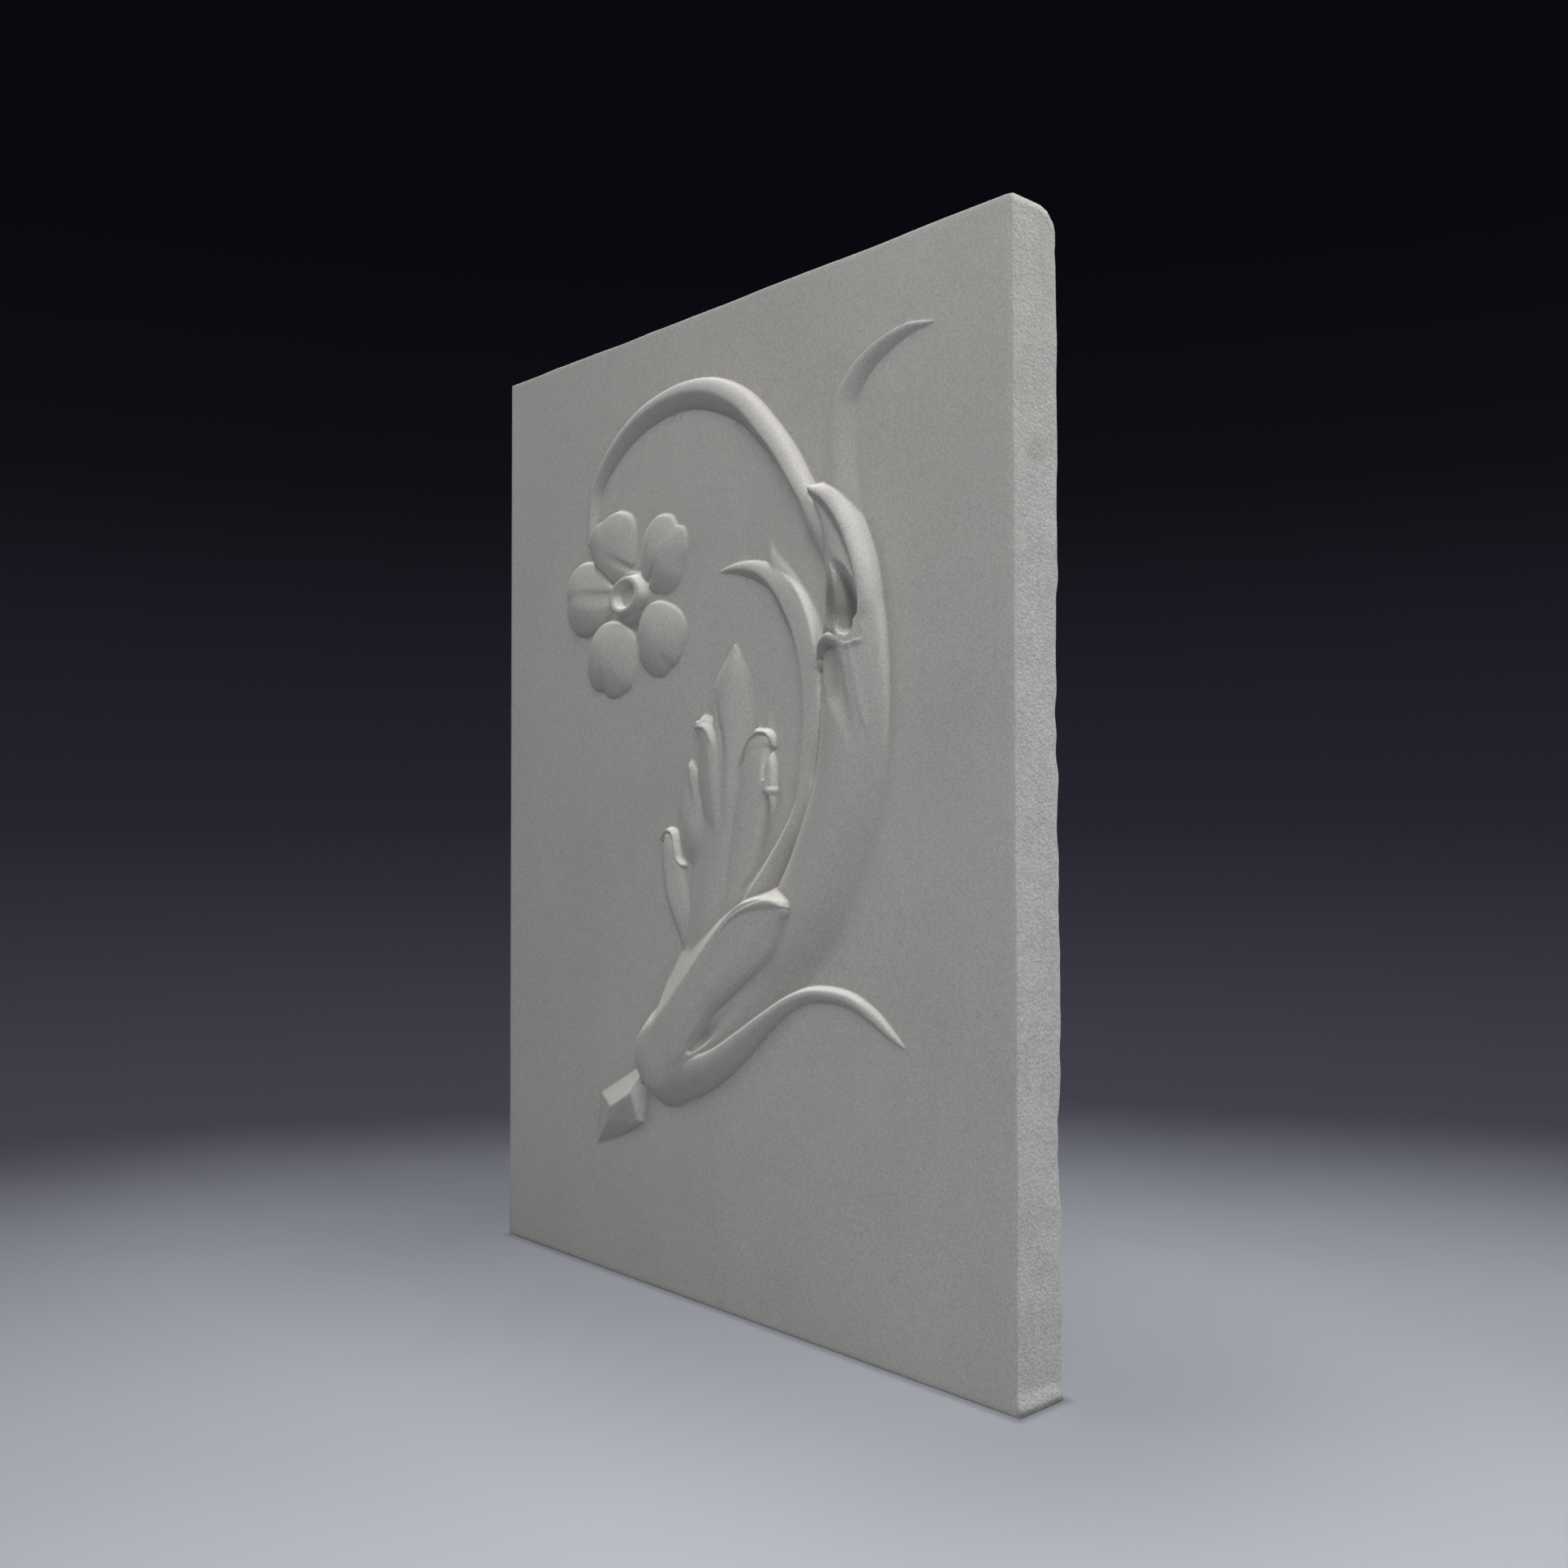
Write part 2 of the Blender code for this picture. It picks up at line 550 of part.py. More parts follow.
def front_sheath():
    """The broad sheath that wraps up and to the right from the bulb, with a thin bright rim along its tip."""
    sheath = [
        (116, 97, 5.0, 3.0, 9.6),
        (128, 105, 8.0, 12.0, 12.0),
        (141, 114.5, 9.5, 8.4, 12.2),
        (152.5, 124.5, 10.5, 6.5, 12.0),
        (162.5, 133, 12.0, 7.5, 11.8),
        (173, 142.5, 13.0, 9.5, 11.4),
        (183, 151, 12.5, 10.5, 11.2),
        (190.5, 157, 8.0, 8.0, 11.2),
        (197, 160.5, 3.0, 3.0, 11.2),
    ]
    left_brim = (9, 11.4, 12, 12, 12, 11.8, 11.6, 11.4, 11.2)
    right_brim = (9, 10.6, 10.8, 10.2, 9.8, 9.4, 9.4, 9.6, 10.4)
    left_wall = (1.2, 0.88, 0.72, 0.7, 0.85, 1.3, 2.4, 3, 3)
    right_wall = (1.2, 1.4, 2.4, 2.6, 2.6, 2.6, 2.6, 2.8, 3)
    rim = [
        (154, 137, 0.8, 1.0, 11.2),
        (162, 147.5, 1.0, 1.4, 12.0),
        (170.5, 155.5, 1.0, 1.5, 12.2),
        (179, 160, 1.1, 2.0, 12.3),
        (187.5, 162.4, 1.6, 3.0, 12.4),
        (194, 163, 1.8, 3.4, 12.4),
        (199, 162, 1.2, 1.6, 12.0),
    ]
    notch = [
        (144, 102, 1.8, 1.8, 1.4),
        (149, 106.5, 3.2, 3.0, 2.4),
        (157, 112.5, 4.0, 3.4, 1.0),
        (168, 121, 3.0, 3.0, 0.0),
    ]
    return [
        Sweep(sheath, brim=(left_brim, right_brim), bow=(2, 1.8), full=(1, 1), wall=(left_wall, right_wall),
              soften=1.2, join=1.0),
        Sweep(rim, brim=((11, 10, 9.5, 9.5, 9.5, 9.5, 9.5), (11, 11.2, 11, 11, 10.8, 10.6, 10.2)),
              full=(1, 1.2), wall=(2.2, 2.4)),
        Groove(notch, full=(1, 1), wall=(2, 2)),
    ]


def lower_tendril():
    """The tendril that leaves the bulb's underside, thins out and droops to a point on the right."""
    stations = [
        (114, 91, 6.0, 10.5, 9.0),
        (125, 91, 6.0, 12.0, 10.0),
        (136, 94, 5.0, 12.0, 9.5),
        (145.5, 97.5, 3.5, 11.0, 9.2),
        (155.5, 102, 2.6, 9.3, 7.8),
        (168, 109.5, 2.4, 7.2, 6.6),
        (180.5, 117.5, 2.2, 4.8, 5.8),
        (192, 124.5, 2.2, 3.6, 4.6),
        (203.5, 129, 2.2, 3.2, 3.9),
        (215, 130, 2.4, 3.2, 3.7),
        (226.5, 128.5, 2.6, 3.4, 3.4),
        (237, 123.5, 2.6, 3.0, 2.9),
        (245, 118, 1.8, 2.0, 1.9),
        (251, 114, 0.6, 0.6, 0.6),
    ]
    notch_brim = (8, 9, 8, 6, 5, 4.4, 3.4, 2, 1, 0.5, 0, 0, 0, 0)
    return [Sweep(stations, brim=(notch_brim, 0), bow=(2, 1.9), full=(0.7, 0.75), wall=(2.5, 2.5), soften=0.5, join=0.6)]


def stem_end():
    """The cut end of the stem below the bulb, whittled to facets."""
    top = 8.6
    facets = [
        (8, 0.7, top, 0.02, -0.8),
        (8, 0.7, top, -0.03, 0.5),
        (3, -1.9, top, 0.14, 0.92),
        (0, -10.2, 0, 0, 3.0),
        (8, 0.9, top, 0.39, -0.26),
        (-22.5, 0, 0, 2.5, 0),
        (16.5, -9.7, 0, -3.18, 2.42),
        (0, 11.6, 0, 0, -2.5),
    ]
    return [CutEnd((84.4, 69), 26, facets)]


def flower():
    """Five flat petals about an oval eye, with the creases between and across them."""
    petals = [
        Dome((83.5, 312.0), 101, 13.6, 17.0, 15.0, 5.6, 1.3, square=2.7, taper=0.1, lean=0.12, roll=0.12, bow=2.1,
             notches=((14, 12, 0.05), (-40, 14, 0.04))),
        Dome((117.0, 303.2), 76, 17.0, 15.4, 14.6, 6.0, 1.0, square=2.5, lean=0.03, roll=0.06, bow=1.8, full=0.9,
             notches=((-27, 13, 0.15), (-100, 16, 0.05))),
        Dome((115.4, 269.4), -110, 15.8, 14.4, 15.0, 6.0, 1.2, square=2.4, taper=-0.08, roll=-0.06, bow=1.8, full=0.9,
             notches=((48, 13, 0.09), (-62, 15, 0.08))),
        Dome((82.0, 263.8), -100, 17.0, 15.0, 16.2, 6.4, 1.3, square=2.5, taper=0.06, roll=-0.07, bow=1.8, full=0.9,
             notches=((-16, 11, 0.12), (34, 12, 0.05))),
        Dome((65.5, 291.0), 180, 15.5, 16.0, 15.5, 6.4, 1.8, square=2.4, taper=0.12, lean=0.1, bow=1.7, full=0.85,
             notches=((4, 12, 0.07),)),
    ]
    creases = [
        [(58, 292, 3.0, 4.5, 0.0), (66, 291.5, 4.0, 6.0, 0.7), (76, 290.5, 4.0, 6.0, 0.9), (83, 290.5, 3.0, 2.5, 0.8)],
        [(72, 305.0, 1.8, 1.8, 0.0), (78, 299.5, 2.0, 2.4, 1.1), (83, 294, 2.0, 2.0, 1.4)],
        [(84, 306.5, 2.4, 3.2, 0.0), (90, 303, 2.8, 3.6, 0.8), (96, 300.5, 2.4, 3.2, 1.2), (103, 298.5, 2.0, 2.2, 1.0)],
        [(118, 300, 1.5, 1.5, 0.0), (112, 295, 2.2, 2.2, 0.8), (107, 292, 2.4, 2.4, 1.2)],
    ]
    return [
        Dome((97, 288), 0, 12, 12, 12, 2.4, 1.2, bow=2.0, wall=1.0, join=1.5),
        *petals,
        *[Groove(crease, full=(1.2, 1.2), wall=(1, 1), join=0.8) for crease in creases],
        Dome((96.0, 285.2), 20, 8.2, 8.4, 8.6, 4.6, 1.6, bow=4, full=0.5, wall=2.8),
        Ring((97.6, 288.2), 20, 16.6, 12.8, 1.6, 5.8, 0.06, 3.4),
    ]


# In the order in which one form lies over another.
FORMS = (
    arched_stem,
    upper_tendril,
    horn,
    inner_leaf,
    leaf_cluster,
    curled_leaf,
    low_leaf,
    hooded_leaf,
    upper_sheath,
    middle_sheath,
    bulb,
    front_sheath,
    lower_tendril,
    stem_end,
    flower,
)


def carved_height(x, z):
    """Height of the carving over the flat ground, at places on the slab's face, in metres."""
    sheet_x = (x / SLAB_WIDTH + 0.5) * SHEET_WIDTH
    sheet_z = z / SLAB_HEIGHT * SHEET_HEIGHT
    height = np.zeros_like(sheet_x)
    for form in FORMS:
        for shape in form():
            height = shape.carve(height, sheet_x, sheet_z)
    return height * RELIEF_DEPTH / SHEET_DEPTH


def wander(run):
    """A slow uneven wave between 0 and 1 along an edge, for the places in metres along it."""
    waves = np.sin(run * 37 + 1.0) + 0.7 * np.sin(run * 91 + 2.4) + 0.5 * np.sin(run * 173)
    return 0.5 + waves / 4.4


def smooth_step(value):
    """From 0 to 1 with level ends."""
    share = np.clip(value, 0, 1)
    return share * share * (3 - 2 * share)


def back_break(x, z):
    """How far the broken back edge is set in from the outline, for places on the outline."""
    runs_up = np.abs(x) / SLAB_WIDTH > np.abs(z / SLAB_HEIGHT - 0.5)
    share = wander(np.where(runs_up, z + 0.11 * np.sign(x), x))
    broken = BACK_ROUND + BACK_BREAKAGE * share**1.5
    return np.where(z < SLAB_HEIGHT / 100, 2 * BACK_ROUND, broken)


def ring_sections():
    """Each ring of the side from front to back: its place in the front round, in the side and in the back break."""
    front = [(1 - np.sin(a), 1 - np.cos(a)) for a in np.radians((45, 90))]
    side = (0.35, 0.6, 0.8)
    back = [(1 - np.cos(a), np.sin(a)) for a in np.radians((0, 45, 90))]
    return front, side, back


def shaped_side(x, z, ring):
    """Place of each point of the side, from the rim of the front face and the number of its ring."""
    front, side, back = ring_sections()
    half = SLAB_WIDTH / 2 - FRONT_ROUND
    out_x = np.where(np.abs(x) > half - 1e-6, np.sign(x), 0)
    out_z = np.where(z < FRONT_ROUND + 1e-6, -1, np.where(z > SLAB_HEIGHT - FRONT_ROUND - 1e-6, 1, 0))
    length = np.hypot(out_x, out_z)
    out_x = out_x / length
    out_z = out_z / length
    set_in = back_break(x, z)
    straight = SLAB_THICKNESS - FRONT_ROUND - set_in
    inset = np.zeros_like(x)
    depth = np.zeros_like(x)
    number = 1
    for share_in, share_deep in front:
        inset[ring == number] = FRONT_ROUND * share_in
        depth[ring == number] = FRONT_ROUND * share_deep
        number += 1
    for share in side:
        here = ring == number
        depth[here] = (FRONT_ROUND + straight * share)[here]
        number += 1
    for share_in, share_deep in back:
        here = ring == number
        inset[here] = (set_in * share_in)[here]
        depth[here] = (SLAB_THICKNESS - set_in * (1 - share_deep))[here]
        number += 1
    uneven = OUTLINE_WANDER * wander(x + z) * (out_z >= 0)
    shift = FRONT_ROUND - inset - uneven
    return x + out_x * shift, depth, z + out_z * shift


def worn_top(x, depth, z):
    """Lowers the top toward the back, most at the right corner, and leaves the lower slab as it is."""
    behind = np.clip((depth - SLAB_THICKNESS + TOP_SLOPE_DEPTH) / TOP_SLOPE_DEPTH, 0, 1)
    corner = 0.3 + 0.7 * smooth_step((x - SLAB_WIDTH / 2 + TOP_SLOPE_REACH) / TOP_SLOPE_REACH)
    drop = TOP_SLOPE_DROP * corner * (1 - np.sqrt(1 - behind**2))
    return z - drop * smooth_step((z - SLAB_HEIGHT + 3 * TOP_SLOPE_DROP) / (3 * TOP_SLOPE_DROP))


def foot_lip(x, depth, z):
    """The small proud lip low on the right side, where the mould's seam was."""
    low = 1 - smooth_step(z / FOOT_LIP_HEIGHT - 0.5)
    near = smooth_step((x - SLAB_WIDTH / 2) / FRONT_ROUND + 1) * smooth_step(depth / FRONT_ROUND - 0.5)
    return x + FOOT_LIP * low * near


def slab_mesh():
    """The slab and its carving as one closed body."""
    bm = bmesh.new()
    columns = round(SLAB_WIDTH / FACE_STEP)
    rows = round(SLAB_HEIGHT / FACE_STEP)
    bmesh.ops.create_grid(bm, x_segments=columns, y_segments=rows, size=0.5)
    width = SLAB_WIDTH - 2 * FRONT_ROUND
    height = SLAB_HEIGHT - 2 * FRONT_ROUND
    for vert in bm.verts:
        vert.co = (vert.co.x * width, 0, FRONT_ROUND + (vert.co.y + 0.5) * height)
    rim = [edge for edge in bm.edges if edge.is_boundary]
    for _ in range(sum(len(section) for section in ring_sections())):
        made = bmesh.ops.extrude_edge_only(bm, edges=rim)["geom"]
        rim = [item for item in made if isinstance(item, bmesh.types.BMEdge) and item.is_boundary]
        moved = [item for item in made if isinstance(item, bmesh.types.BMVert)]
        bmesh.ops.translate(bm, vec=(0, 1, 0), verts=moved)
    bmesh.ops.contextual_create(bm, geom=rim)

    x, ring, z = np.array([vert.co for vert in bm.verts]).T
    ring = np.round(ring)
    face = ring == 0
    depth = np.zeros_like(x)
    depth[face] = -carved_height(x[face], z[face])
    x[~face], depth[~face], z[~face] = shaped_side(x[~face], z[~face], ring[~face])
    z = worn_top(x, depth, z)
    x = foot_lip(x, depth, z)
    for vert, place in zip(bm.verts, np.column_stack([x, depth - SLAB_THICKNESS / 2, z])):
        vert.co = place
    bmesh.ops.recalc_face_normals(bm, faces=bm.faces)
    mesh = bpy.data.meshes.new("plaster_relief")
    bm.to_mesh(mesh)
    bm.free()
    return mesh


def plaster():
    """Matt warm grey plaster."""
    material = bpy.data.materials.new("plaster")
    material.use_nodes = True
    shader = material.node_tree.nodes["Principled BSDF"]
    shader.inputs["Base Color"].default_value = PLASTER_COLOUR
    shader.inputs["Roughness"].default_value = PLASTER_ROUGHNESS
    shader.inputs["Metallic"].default_value = 0.0
    return material


def triangle_count(mesh):
    """Triangles in a mesh once each of its faces is split."""
    return sum(len(face.vertices) - 2 for face in mesh.polygons)


def thinned(relief):
    """The object's mesh with its flat stretches thinned out to the wanted number of triangles."""
    thin = relief.modifiers.new("thin_out", "DECIMATE")
    thin.ratio = min(1.0, TRIANGLES / triangle_count(relief.data))
    scene_state = bpy.context.evaluated_depsgraph_get()
    mesh = bpy.data.meshes.new_from_object(relief.evaluated_get(scene_state))
    relief.modifiers.remove(thin)
    return mesh


def level_faces(mesh):
    """Lays the points that stand on the underside or the back exactly in their planes."""
    back = SLAB_THICKNESS / 2
    for vertex in mesh.vertices:
        if abs(vertex.co.y - back) < LEVELLING:
            vertex.co.y = back
        if abs(vertex.co.z) < LEVELLING:
            vertex.co.z = 0.0


def build_relief():
    """The one cast piece."""
    relief = bpy.data.objects.new("plaster_relief", slab_mesh())
    bpy.context.scene.collection.objects.link(relief)
    relief.data = thinned(relief)
    level_faces(relief.data)
    relief.data.shade_smooth()
    relief.data.set_sharp_from_angle(angle=SMOOTH_ANGLE)
    relief.data.materials.append(plaster())
    return relief


def main():
    """Clears the scene and builds the relief."""
    for old in list(bpy.data.objects):
        bpy.data.objects.remove(old)
    build_relief()


if __name__ == "__main__":
    main()
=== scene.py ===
"""Plaster bas-relief, standing on a pale floor under soft studio light.

The slab and its carving are one cast body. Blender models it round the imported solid, in metres, with +Z up and the
carved face toward -Y. The carving is drawn on a sheet whose unit is a millimetre: x runs from the slab's left edge,
z from its foot, and heights stand on the flat ground.
"""

import logging
import math
from abc import ABC, abstractmethod
from dataclasses import dataclass, field, fields
from enum import Enum

import bmesh
import bpy
import numpy as np
from mathutils import Euler, Matrix, Vector, noise


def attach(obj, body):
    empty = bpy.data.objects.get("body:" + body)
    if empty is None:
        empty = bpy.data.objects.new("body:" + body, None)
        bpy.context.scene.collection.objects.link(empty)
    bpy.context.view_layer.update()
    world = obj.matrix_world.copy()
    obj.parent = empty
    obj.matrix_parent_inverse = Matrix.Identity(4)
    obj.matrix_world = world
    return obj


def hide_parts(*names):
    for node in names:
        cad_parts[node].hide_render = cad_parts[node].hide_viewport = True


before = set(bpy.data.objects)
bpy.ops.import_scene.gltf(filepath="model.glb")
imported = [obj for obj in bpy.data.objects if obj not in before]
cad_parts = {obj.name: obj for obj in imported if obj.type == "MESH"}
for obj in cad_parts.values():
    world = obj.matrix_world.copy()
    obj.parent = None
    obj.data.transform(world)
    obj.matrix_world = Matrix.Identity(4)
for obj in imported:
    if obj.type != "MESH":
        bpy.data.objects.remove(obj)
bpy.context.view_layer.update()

log = logging.getLogger("plaster_relief")

Array = np.ndarray
Tree = bpy.types.NodeTree
Socket = bpy.types.NodeSocket
Values = tuple[float, ...]
Rows = tuple[Values, ...]
Pair = tuple[float, float]
Point = tuple[float, float, float]
Colour = tuple[float, float, float, float]
Flanks = tuple[float | Values, float | Values]

NODE = "plaster_relief"
MILLIMETRE = 0.001
TOUCH = MILLIMETRE / 100  # places closer than this are the same
RAISED = MILLIMETRE / 50  # faces that stand higher than this are carved
TINY = 1e-6
SPLINE_STEPS = 12
FOOT_REACH = 4  # how far the foot of a strand may stand outside its width, on the sheet
CUT_HEIGHT = 8.6  # height of the stem's cut end, on the sheet


def blend_up(low: Array, high: Array, reach: float) -> Array:
    """The higher of two surfaces, with a fillet where they come close.

    Args:
        low: Heights of the first surface.
        high: Heights of the second surface.
        reach: The height difference within which they are filleted.

    Returns:
        The joined heights.
    """
    share = np.clip(0.5 + 0.5 * (high - low) / reach, 0, 1)
    return low + (high - low) * share + reach * share * (1 - share)


def blend_down(first: Array, second: Array, reach: float) -> Array:
    """The lower of two surfaces, rounded over where they are closer than reach."""
    return -blend_up(-first, -second, reach)


def smooth_step(value: Array) -> Array:
    """From 0 to 1 with level ends."""
    share = np.clip(value, 0, 1)
    return share * share * (3 - 2 * share)


def noise_values(*axes: Array | float) -> Array:
    """Smooth noise between -1 and 1 at places that are given by their three coordinates."""
    return np.array([noise.noise(Vector(place)) for place in np.column_stack(np.broadcast_arrays(*axes))])


def spread(values: float | Values, count: int) -> Array:
    """One value, or several evenly spread ones, as a value for each of count stations."""
    values = np.atleast_1d(np.asarray(values, float))
    return np.interp(np.linspace(0, 1, count), np.linspace(0, 1, len(values)), values)


def spline(rows: Array) -> Array:
    """A smooth curve through every row, in all its columns at once.

    Args:
        rows: The stations.

    Returns:
        The curve's points, SPLINE_STEPS to each span.
    """
    rows = np.asarray(rows, float)
    rows = np.vstack([2 * rows[0] - rows[1], rows, 2 * rows[-1] - rows[-2]])
    t = (np.arange(SPLINE_STEPS) / SPLINE_STEPS)[:, None]
    spans = [
        0.5 * (2 * b + (c - a) * t + (2 * a - 5 * b + 4 * c - d) * t**2 + (3 * b - a - 3 * c + d) * t**3)
        for a, b, c, d in zip(rows[:-3], rows[1:-2], rows[2:-1], rows[3:])
    ]
    return np.vstack(spans + [rows[-2:-1]])


class Form(ABC):
    """A simple shape that the carver lays on the surface or takes out of it."""

    @abstractmethod
    def carve(self, height: Array, x: Array, z: Array) -> Array:
        """The surface with the shape worked into it.

        Args:
            height: Heights of the surface so far, on the sheet.
            x: Places of the points across the sheet.
            z: Places of the points up the sheet.

        Returns:
            The new heights.
        """


@dataclass(frozen=True)
class Strand(Form):
    """A strand of stations (x, z, left half width, right half width, crest height), swept along a spline.

    Left and right are seen while travelling along the stations. The pairs (left, right) shape the two flanks: brim
    is the height at the foot of the curved flank, bow and full its curve, and wall the slope from the brim down to
    the ground.
    """

    stations: Rows
    brim: Flanks = (0, 0)
    bow: Pair = (2, 2)
    full: Flanks = (0.5, 0.5)
    wall: Flanks = (3, 3)
    soften: float = 0.8
    join: float = 0.8

    def line(self) -> Array:
        """The spline's points, each with all its station's values."""
        count = len(self.stations)
        pairs = [spread(value, count) for pair in (self.brim, self.full, self.wall) for value in pair]
        return spline(np.column_stack([self.stations] + pairs))

    @staticmethod
    def nearest(line: Array, x: Array, z: Array) -> tuple[Array, Array, Array]:
        """The part of the line nearest to each place.

        Args:
            line: The spline's points.
            x: Places across the sheet.
            z: Places up the sheet.

        Returns:
            The interpolated station, its distance, and whether the place is on the left.
        """
        best = np.full(x.shape, np.inf)
        station = np.zeros((len(x), line.shape[1]))
        on_left = np.zeros(x.shape, bool)
        for start, end in zip(line[:-1], line[1:]):
            run = end[:2] - start[:2]
            dx = x - start[0]
            dz = z - start[1]
            share = np.clip((dx * run[0] + dz * run[1]) / (run @ run), 0, 1)
            dx = dx - share * run[0]
            dz = dz - share * run[1]
            distance = np.hypot(dx, dz)
            near = distance < best
            best[near] = distance[near]
            station[near] = start + share[near, None] * (end - start)
            on_left[near] = (run[0] * dz - run[1] * dx)[near] >= 0
        return station, best, on_left

    def profile(self, line: Array, x: Array, z: Array) -> Array:
        """Height of the strand over each place.

        Args:
            line: The spline's points.
            x: Places across the sheet.
            z: Places up the sheet.

        Returns:
            The heights.
        """
        station, distance, on_left = self.nearest(line, x, z)
        left, right, crest, *others = station.T[2:]
        width = np.where(on_left, left, right)
        brim, full, wall = (np.where(on_left, *pair) for pair in (others[:2], others[2:4], others[4:]))
        across = np.clip(distance / np.maximum(width, TINY), 0, 1)
        flank = brim + (crest - brim) * (1 - across ** np.where(on_left, *self.bow)) ** full
        return blend_down(flank, brim + (width - distance) * wall, self.soften)

    def work(self, height: Array, profile: Array) -> Array:
        """Lays the strand's profile on the surface."""
        return blend_up(height, profile, self.join)

    def carve(self, height: Array, x: Array, z: Array) -> Array:
        """The surface with the strand worked into it.

        Args:
            height: Heights of the surface so far.
            x: Places across the sheet.
            z: Places up the sheet.

        Returns:
            The new heights.
        """
        line = self.line()
        reach = line[:, 2:4].max() + FOOT_REACH
        low = line[:, :2].min(axis=0) - reach
        high = line[:, :2].max(axis=0) + reach
        near = (x > low[0]) & (x < high[0]) & (z > low[1]) & (z < high[1])
        carved = height.copy()
        carved[near] = self.work(height[near], self.profile(line, x[near], z[near]))
        return carved


@dataclass(frozen=True)
class Channel(Strand):
    """A sunk strand: the crest of a station is how deep the channel goes below the surface, down to the ground."""

    def __post_init__(self) -> None:
        """Starts the channel's foot below the surface, so that it leaves no edge."""
        object.__setattr__(self, "brim", (-self.join, -self.join))

    def work(self, height: Array, profile: Array) -> Array:
        """Takes the channel's profile out of the surface."""
        sunk = blend_down(height, height - profile, self.join)
        return np.maximum(sunk, np.minimum(height, 0))


@dataclass(frozen=True)
class Placed(Form):
    """A form with a place on the sheet and a direction, in degrees from +X toward +Z."""

    place: Pair
    turn: float

    def offsets(self, x: Array, z: Array) -> tuple[Array, Array]:
        """How far the places are from the form's own.

        Args:
            x: Places across the sheet.
            z: Places up the sheet.

        Returns:
            The distances along the form's direction and across it.
        """
        x, z = x - self.place[0], z - self.place[1]
        cos, sin = math.cos(math.radians(self.turn)), math.sin(math.radians(self.turn))
        return x * cos + z * sin, z * cos - x * sin


@dataclass(frozen=True)
class Lobe(Placed):
    """An egg-shaped lobe with its own reach to the front, back and sides of its direction.

    Lean and roll tilt its top along and across it, and settle is the share of the tilt that its brim doesn't take.
    Each notch in its outline has a direction and a width in degrees, and a share of the reach that it takes.
    """

    front: float
    back: float
    side: float
    top: float
    brim: float
    square: float = 2.3
    bow: float = 2.2
    full: float = 0.7
    lean: float = 0
    roll: float = 0
    settle: float = 0.4
    taper: float = 0
    wall: float = 2.2
    join: float = 0.6
    soften: float = 1.2
    notches: Rows = ()

    def carve(self, height: Array, x: Array, z: Array) -> Array:
        """The surface with the lobe laid on it.

        Args:
            height: Heights of the surface so far.
            x: Places across the sheet.
            z: Places up the sheet.

        Returns:
            The new heights.
        """
        along, across = self.offsets(x, z)
        tilt = self.lean * along + self.roll * across
        across = across / (1 + self.taper * np.clip(along / self.back, -1, 1))
        along = along / np.where(along >= 0, self.front, self.back)
        across = across / self.side
        out = (np.abs(along) ** self.square + np.abs(across) ** self.square) ** (1 / self.square)
        angle = np.degrees(np.arctan2(across, along))
        for direction, width, bite in self.notches:
            out = out / (1 - bite * np.exp(-(((angle - direction) / width) ** 2)))
        inner = np.clip(out, 0, 1)
        dome = self.brim + (self.top - self.brim) * (1 - inner**self.bow) ** self.full
        dome = dome + tilt * (1 - self.settle * inner)
        wall = self.brim + (1 - out) * min(self.front, self.side) * self.wall
        return blend_up(height, blend_down(dome, wall, self.soften), self.join)


@dataclass(frozen=True)
class Eye(Placed):
    """An oval ring of round section on a short drum, hollow in the middle.

    The drum's edge, the bowl's and the form's own are counted in tubes from the ring's line, out from it.
    """

    length: float
    breadth: float
    tube: float
    level: float
    tilt: float
    bowl: float
    bowl_round: float = 0.5
    bowl_edge: float = -0.2
    drum_drop: float = 0.3
    drum_edge: float = 0.5
    edge: float = 3
    ring_wall: float = 3
    drum_wall: float = 4
    soften: float = 0.5
    join: float = 0.6

    def carve(self, height: Array, x: Array, z: Array) -> Array:
        """The surface with the ring set in it.

        Args:
            height: Heights of the surface so far.
            x: Places across the sheet.
            z: Places up the sheet.

        Returns:
            The new heights.
        """
        half_length, half_breadth = self.length / 2, self.breadth / 2
        along, across = self.offsets(x, z)
        oval = np.hypot(along / half_length, across / half_breadth)
        off = (oval - 1) * (half_length + half_breadth) / 2
        level = self.level - self.tilt * (x - self.place[0])
        tube = level + np.sqrt(np.clip(self.tube**2 - off**2, 0, None))
        tube = tube - self.ring_wall * np.clip(np.abs(off) - self.tube, 0, None)
        drum = level - self.drum_drop - self.drum_wall * np.clip(off - self.drum_edge * self.tube, 0, None)
        bowl = level - self.bowl * (1 - self.bowl_round * oval**2)
        around = blend_up(height, blend_up(tube, drum, self.soften), self.join)
        outside = np.where(off < self.edge * self.tube, around, height)
        return np.where(off < self.bowl_edge * self.tube, np.maximum(tube, bowl), outside)


@dataclass(frozen=True)
class Facets(Placed):
    """A block of flat facets, the lowest winning: (along, across, height, rise along, rise across) of each."""

    facets: Rows
    soften: float = 0.5

    def carve(self, height: Array, x: Array, z: Array) -> Array:
        """The surface with the block laid on it.

        Args:
            height: Heights of the surface so far.
            x: Places across the sheet.
            z: Places up the sheet.

        Returns:
            The new heights.
        """
        along, across = self.offsets(x, z)
        block = None
        for place_a, place_c, level, rise_a, rise_c in self.facets:
            facet = level + rise_a * (along - place_a) + rise_c * (across - place_c)
            block = facet if block is None else blend_down(block, facet, self.soften)
        return blend_up(height, block, self.soften)


@dataclass(frozen=True)
class Carving:
    """One part of the plant. Each field is a form or a tuple of forms, laid on those before it."""

    def forms(self) -> list[Form]:
        """The forms that make it, in their order."""
        values = [getattr(self, each.name) for each in fields(self)]
        return [form for value in values for form in (value if isinstance(value, tuple) else (value,))]


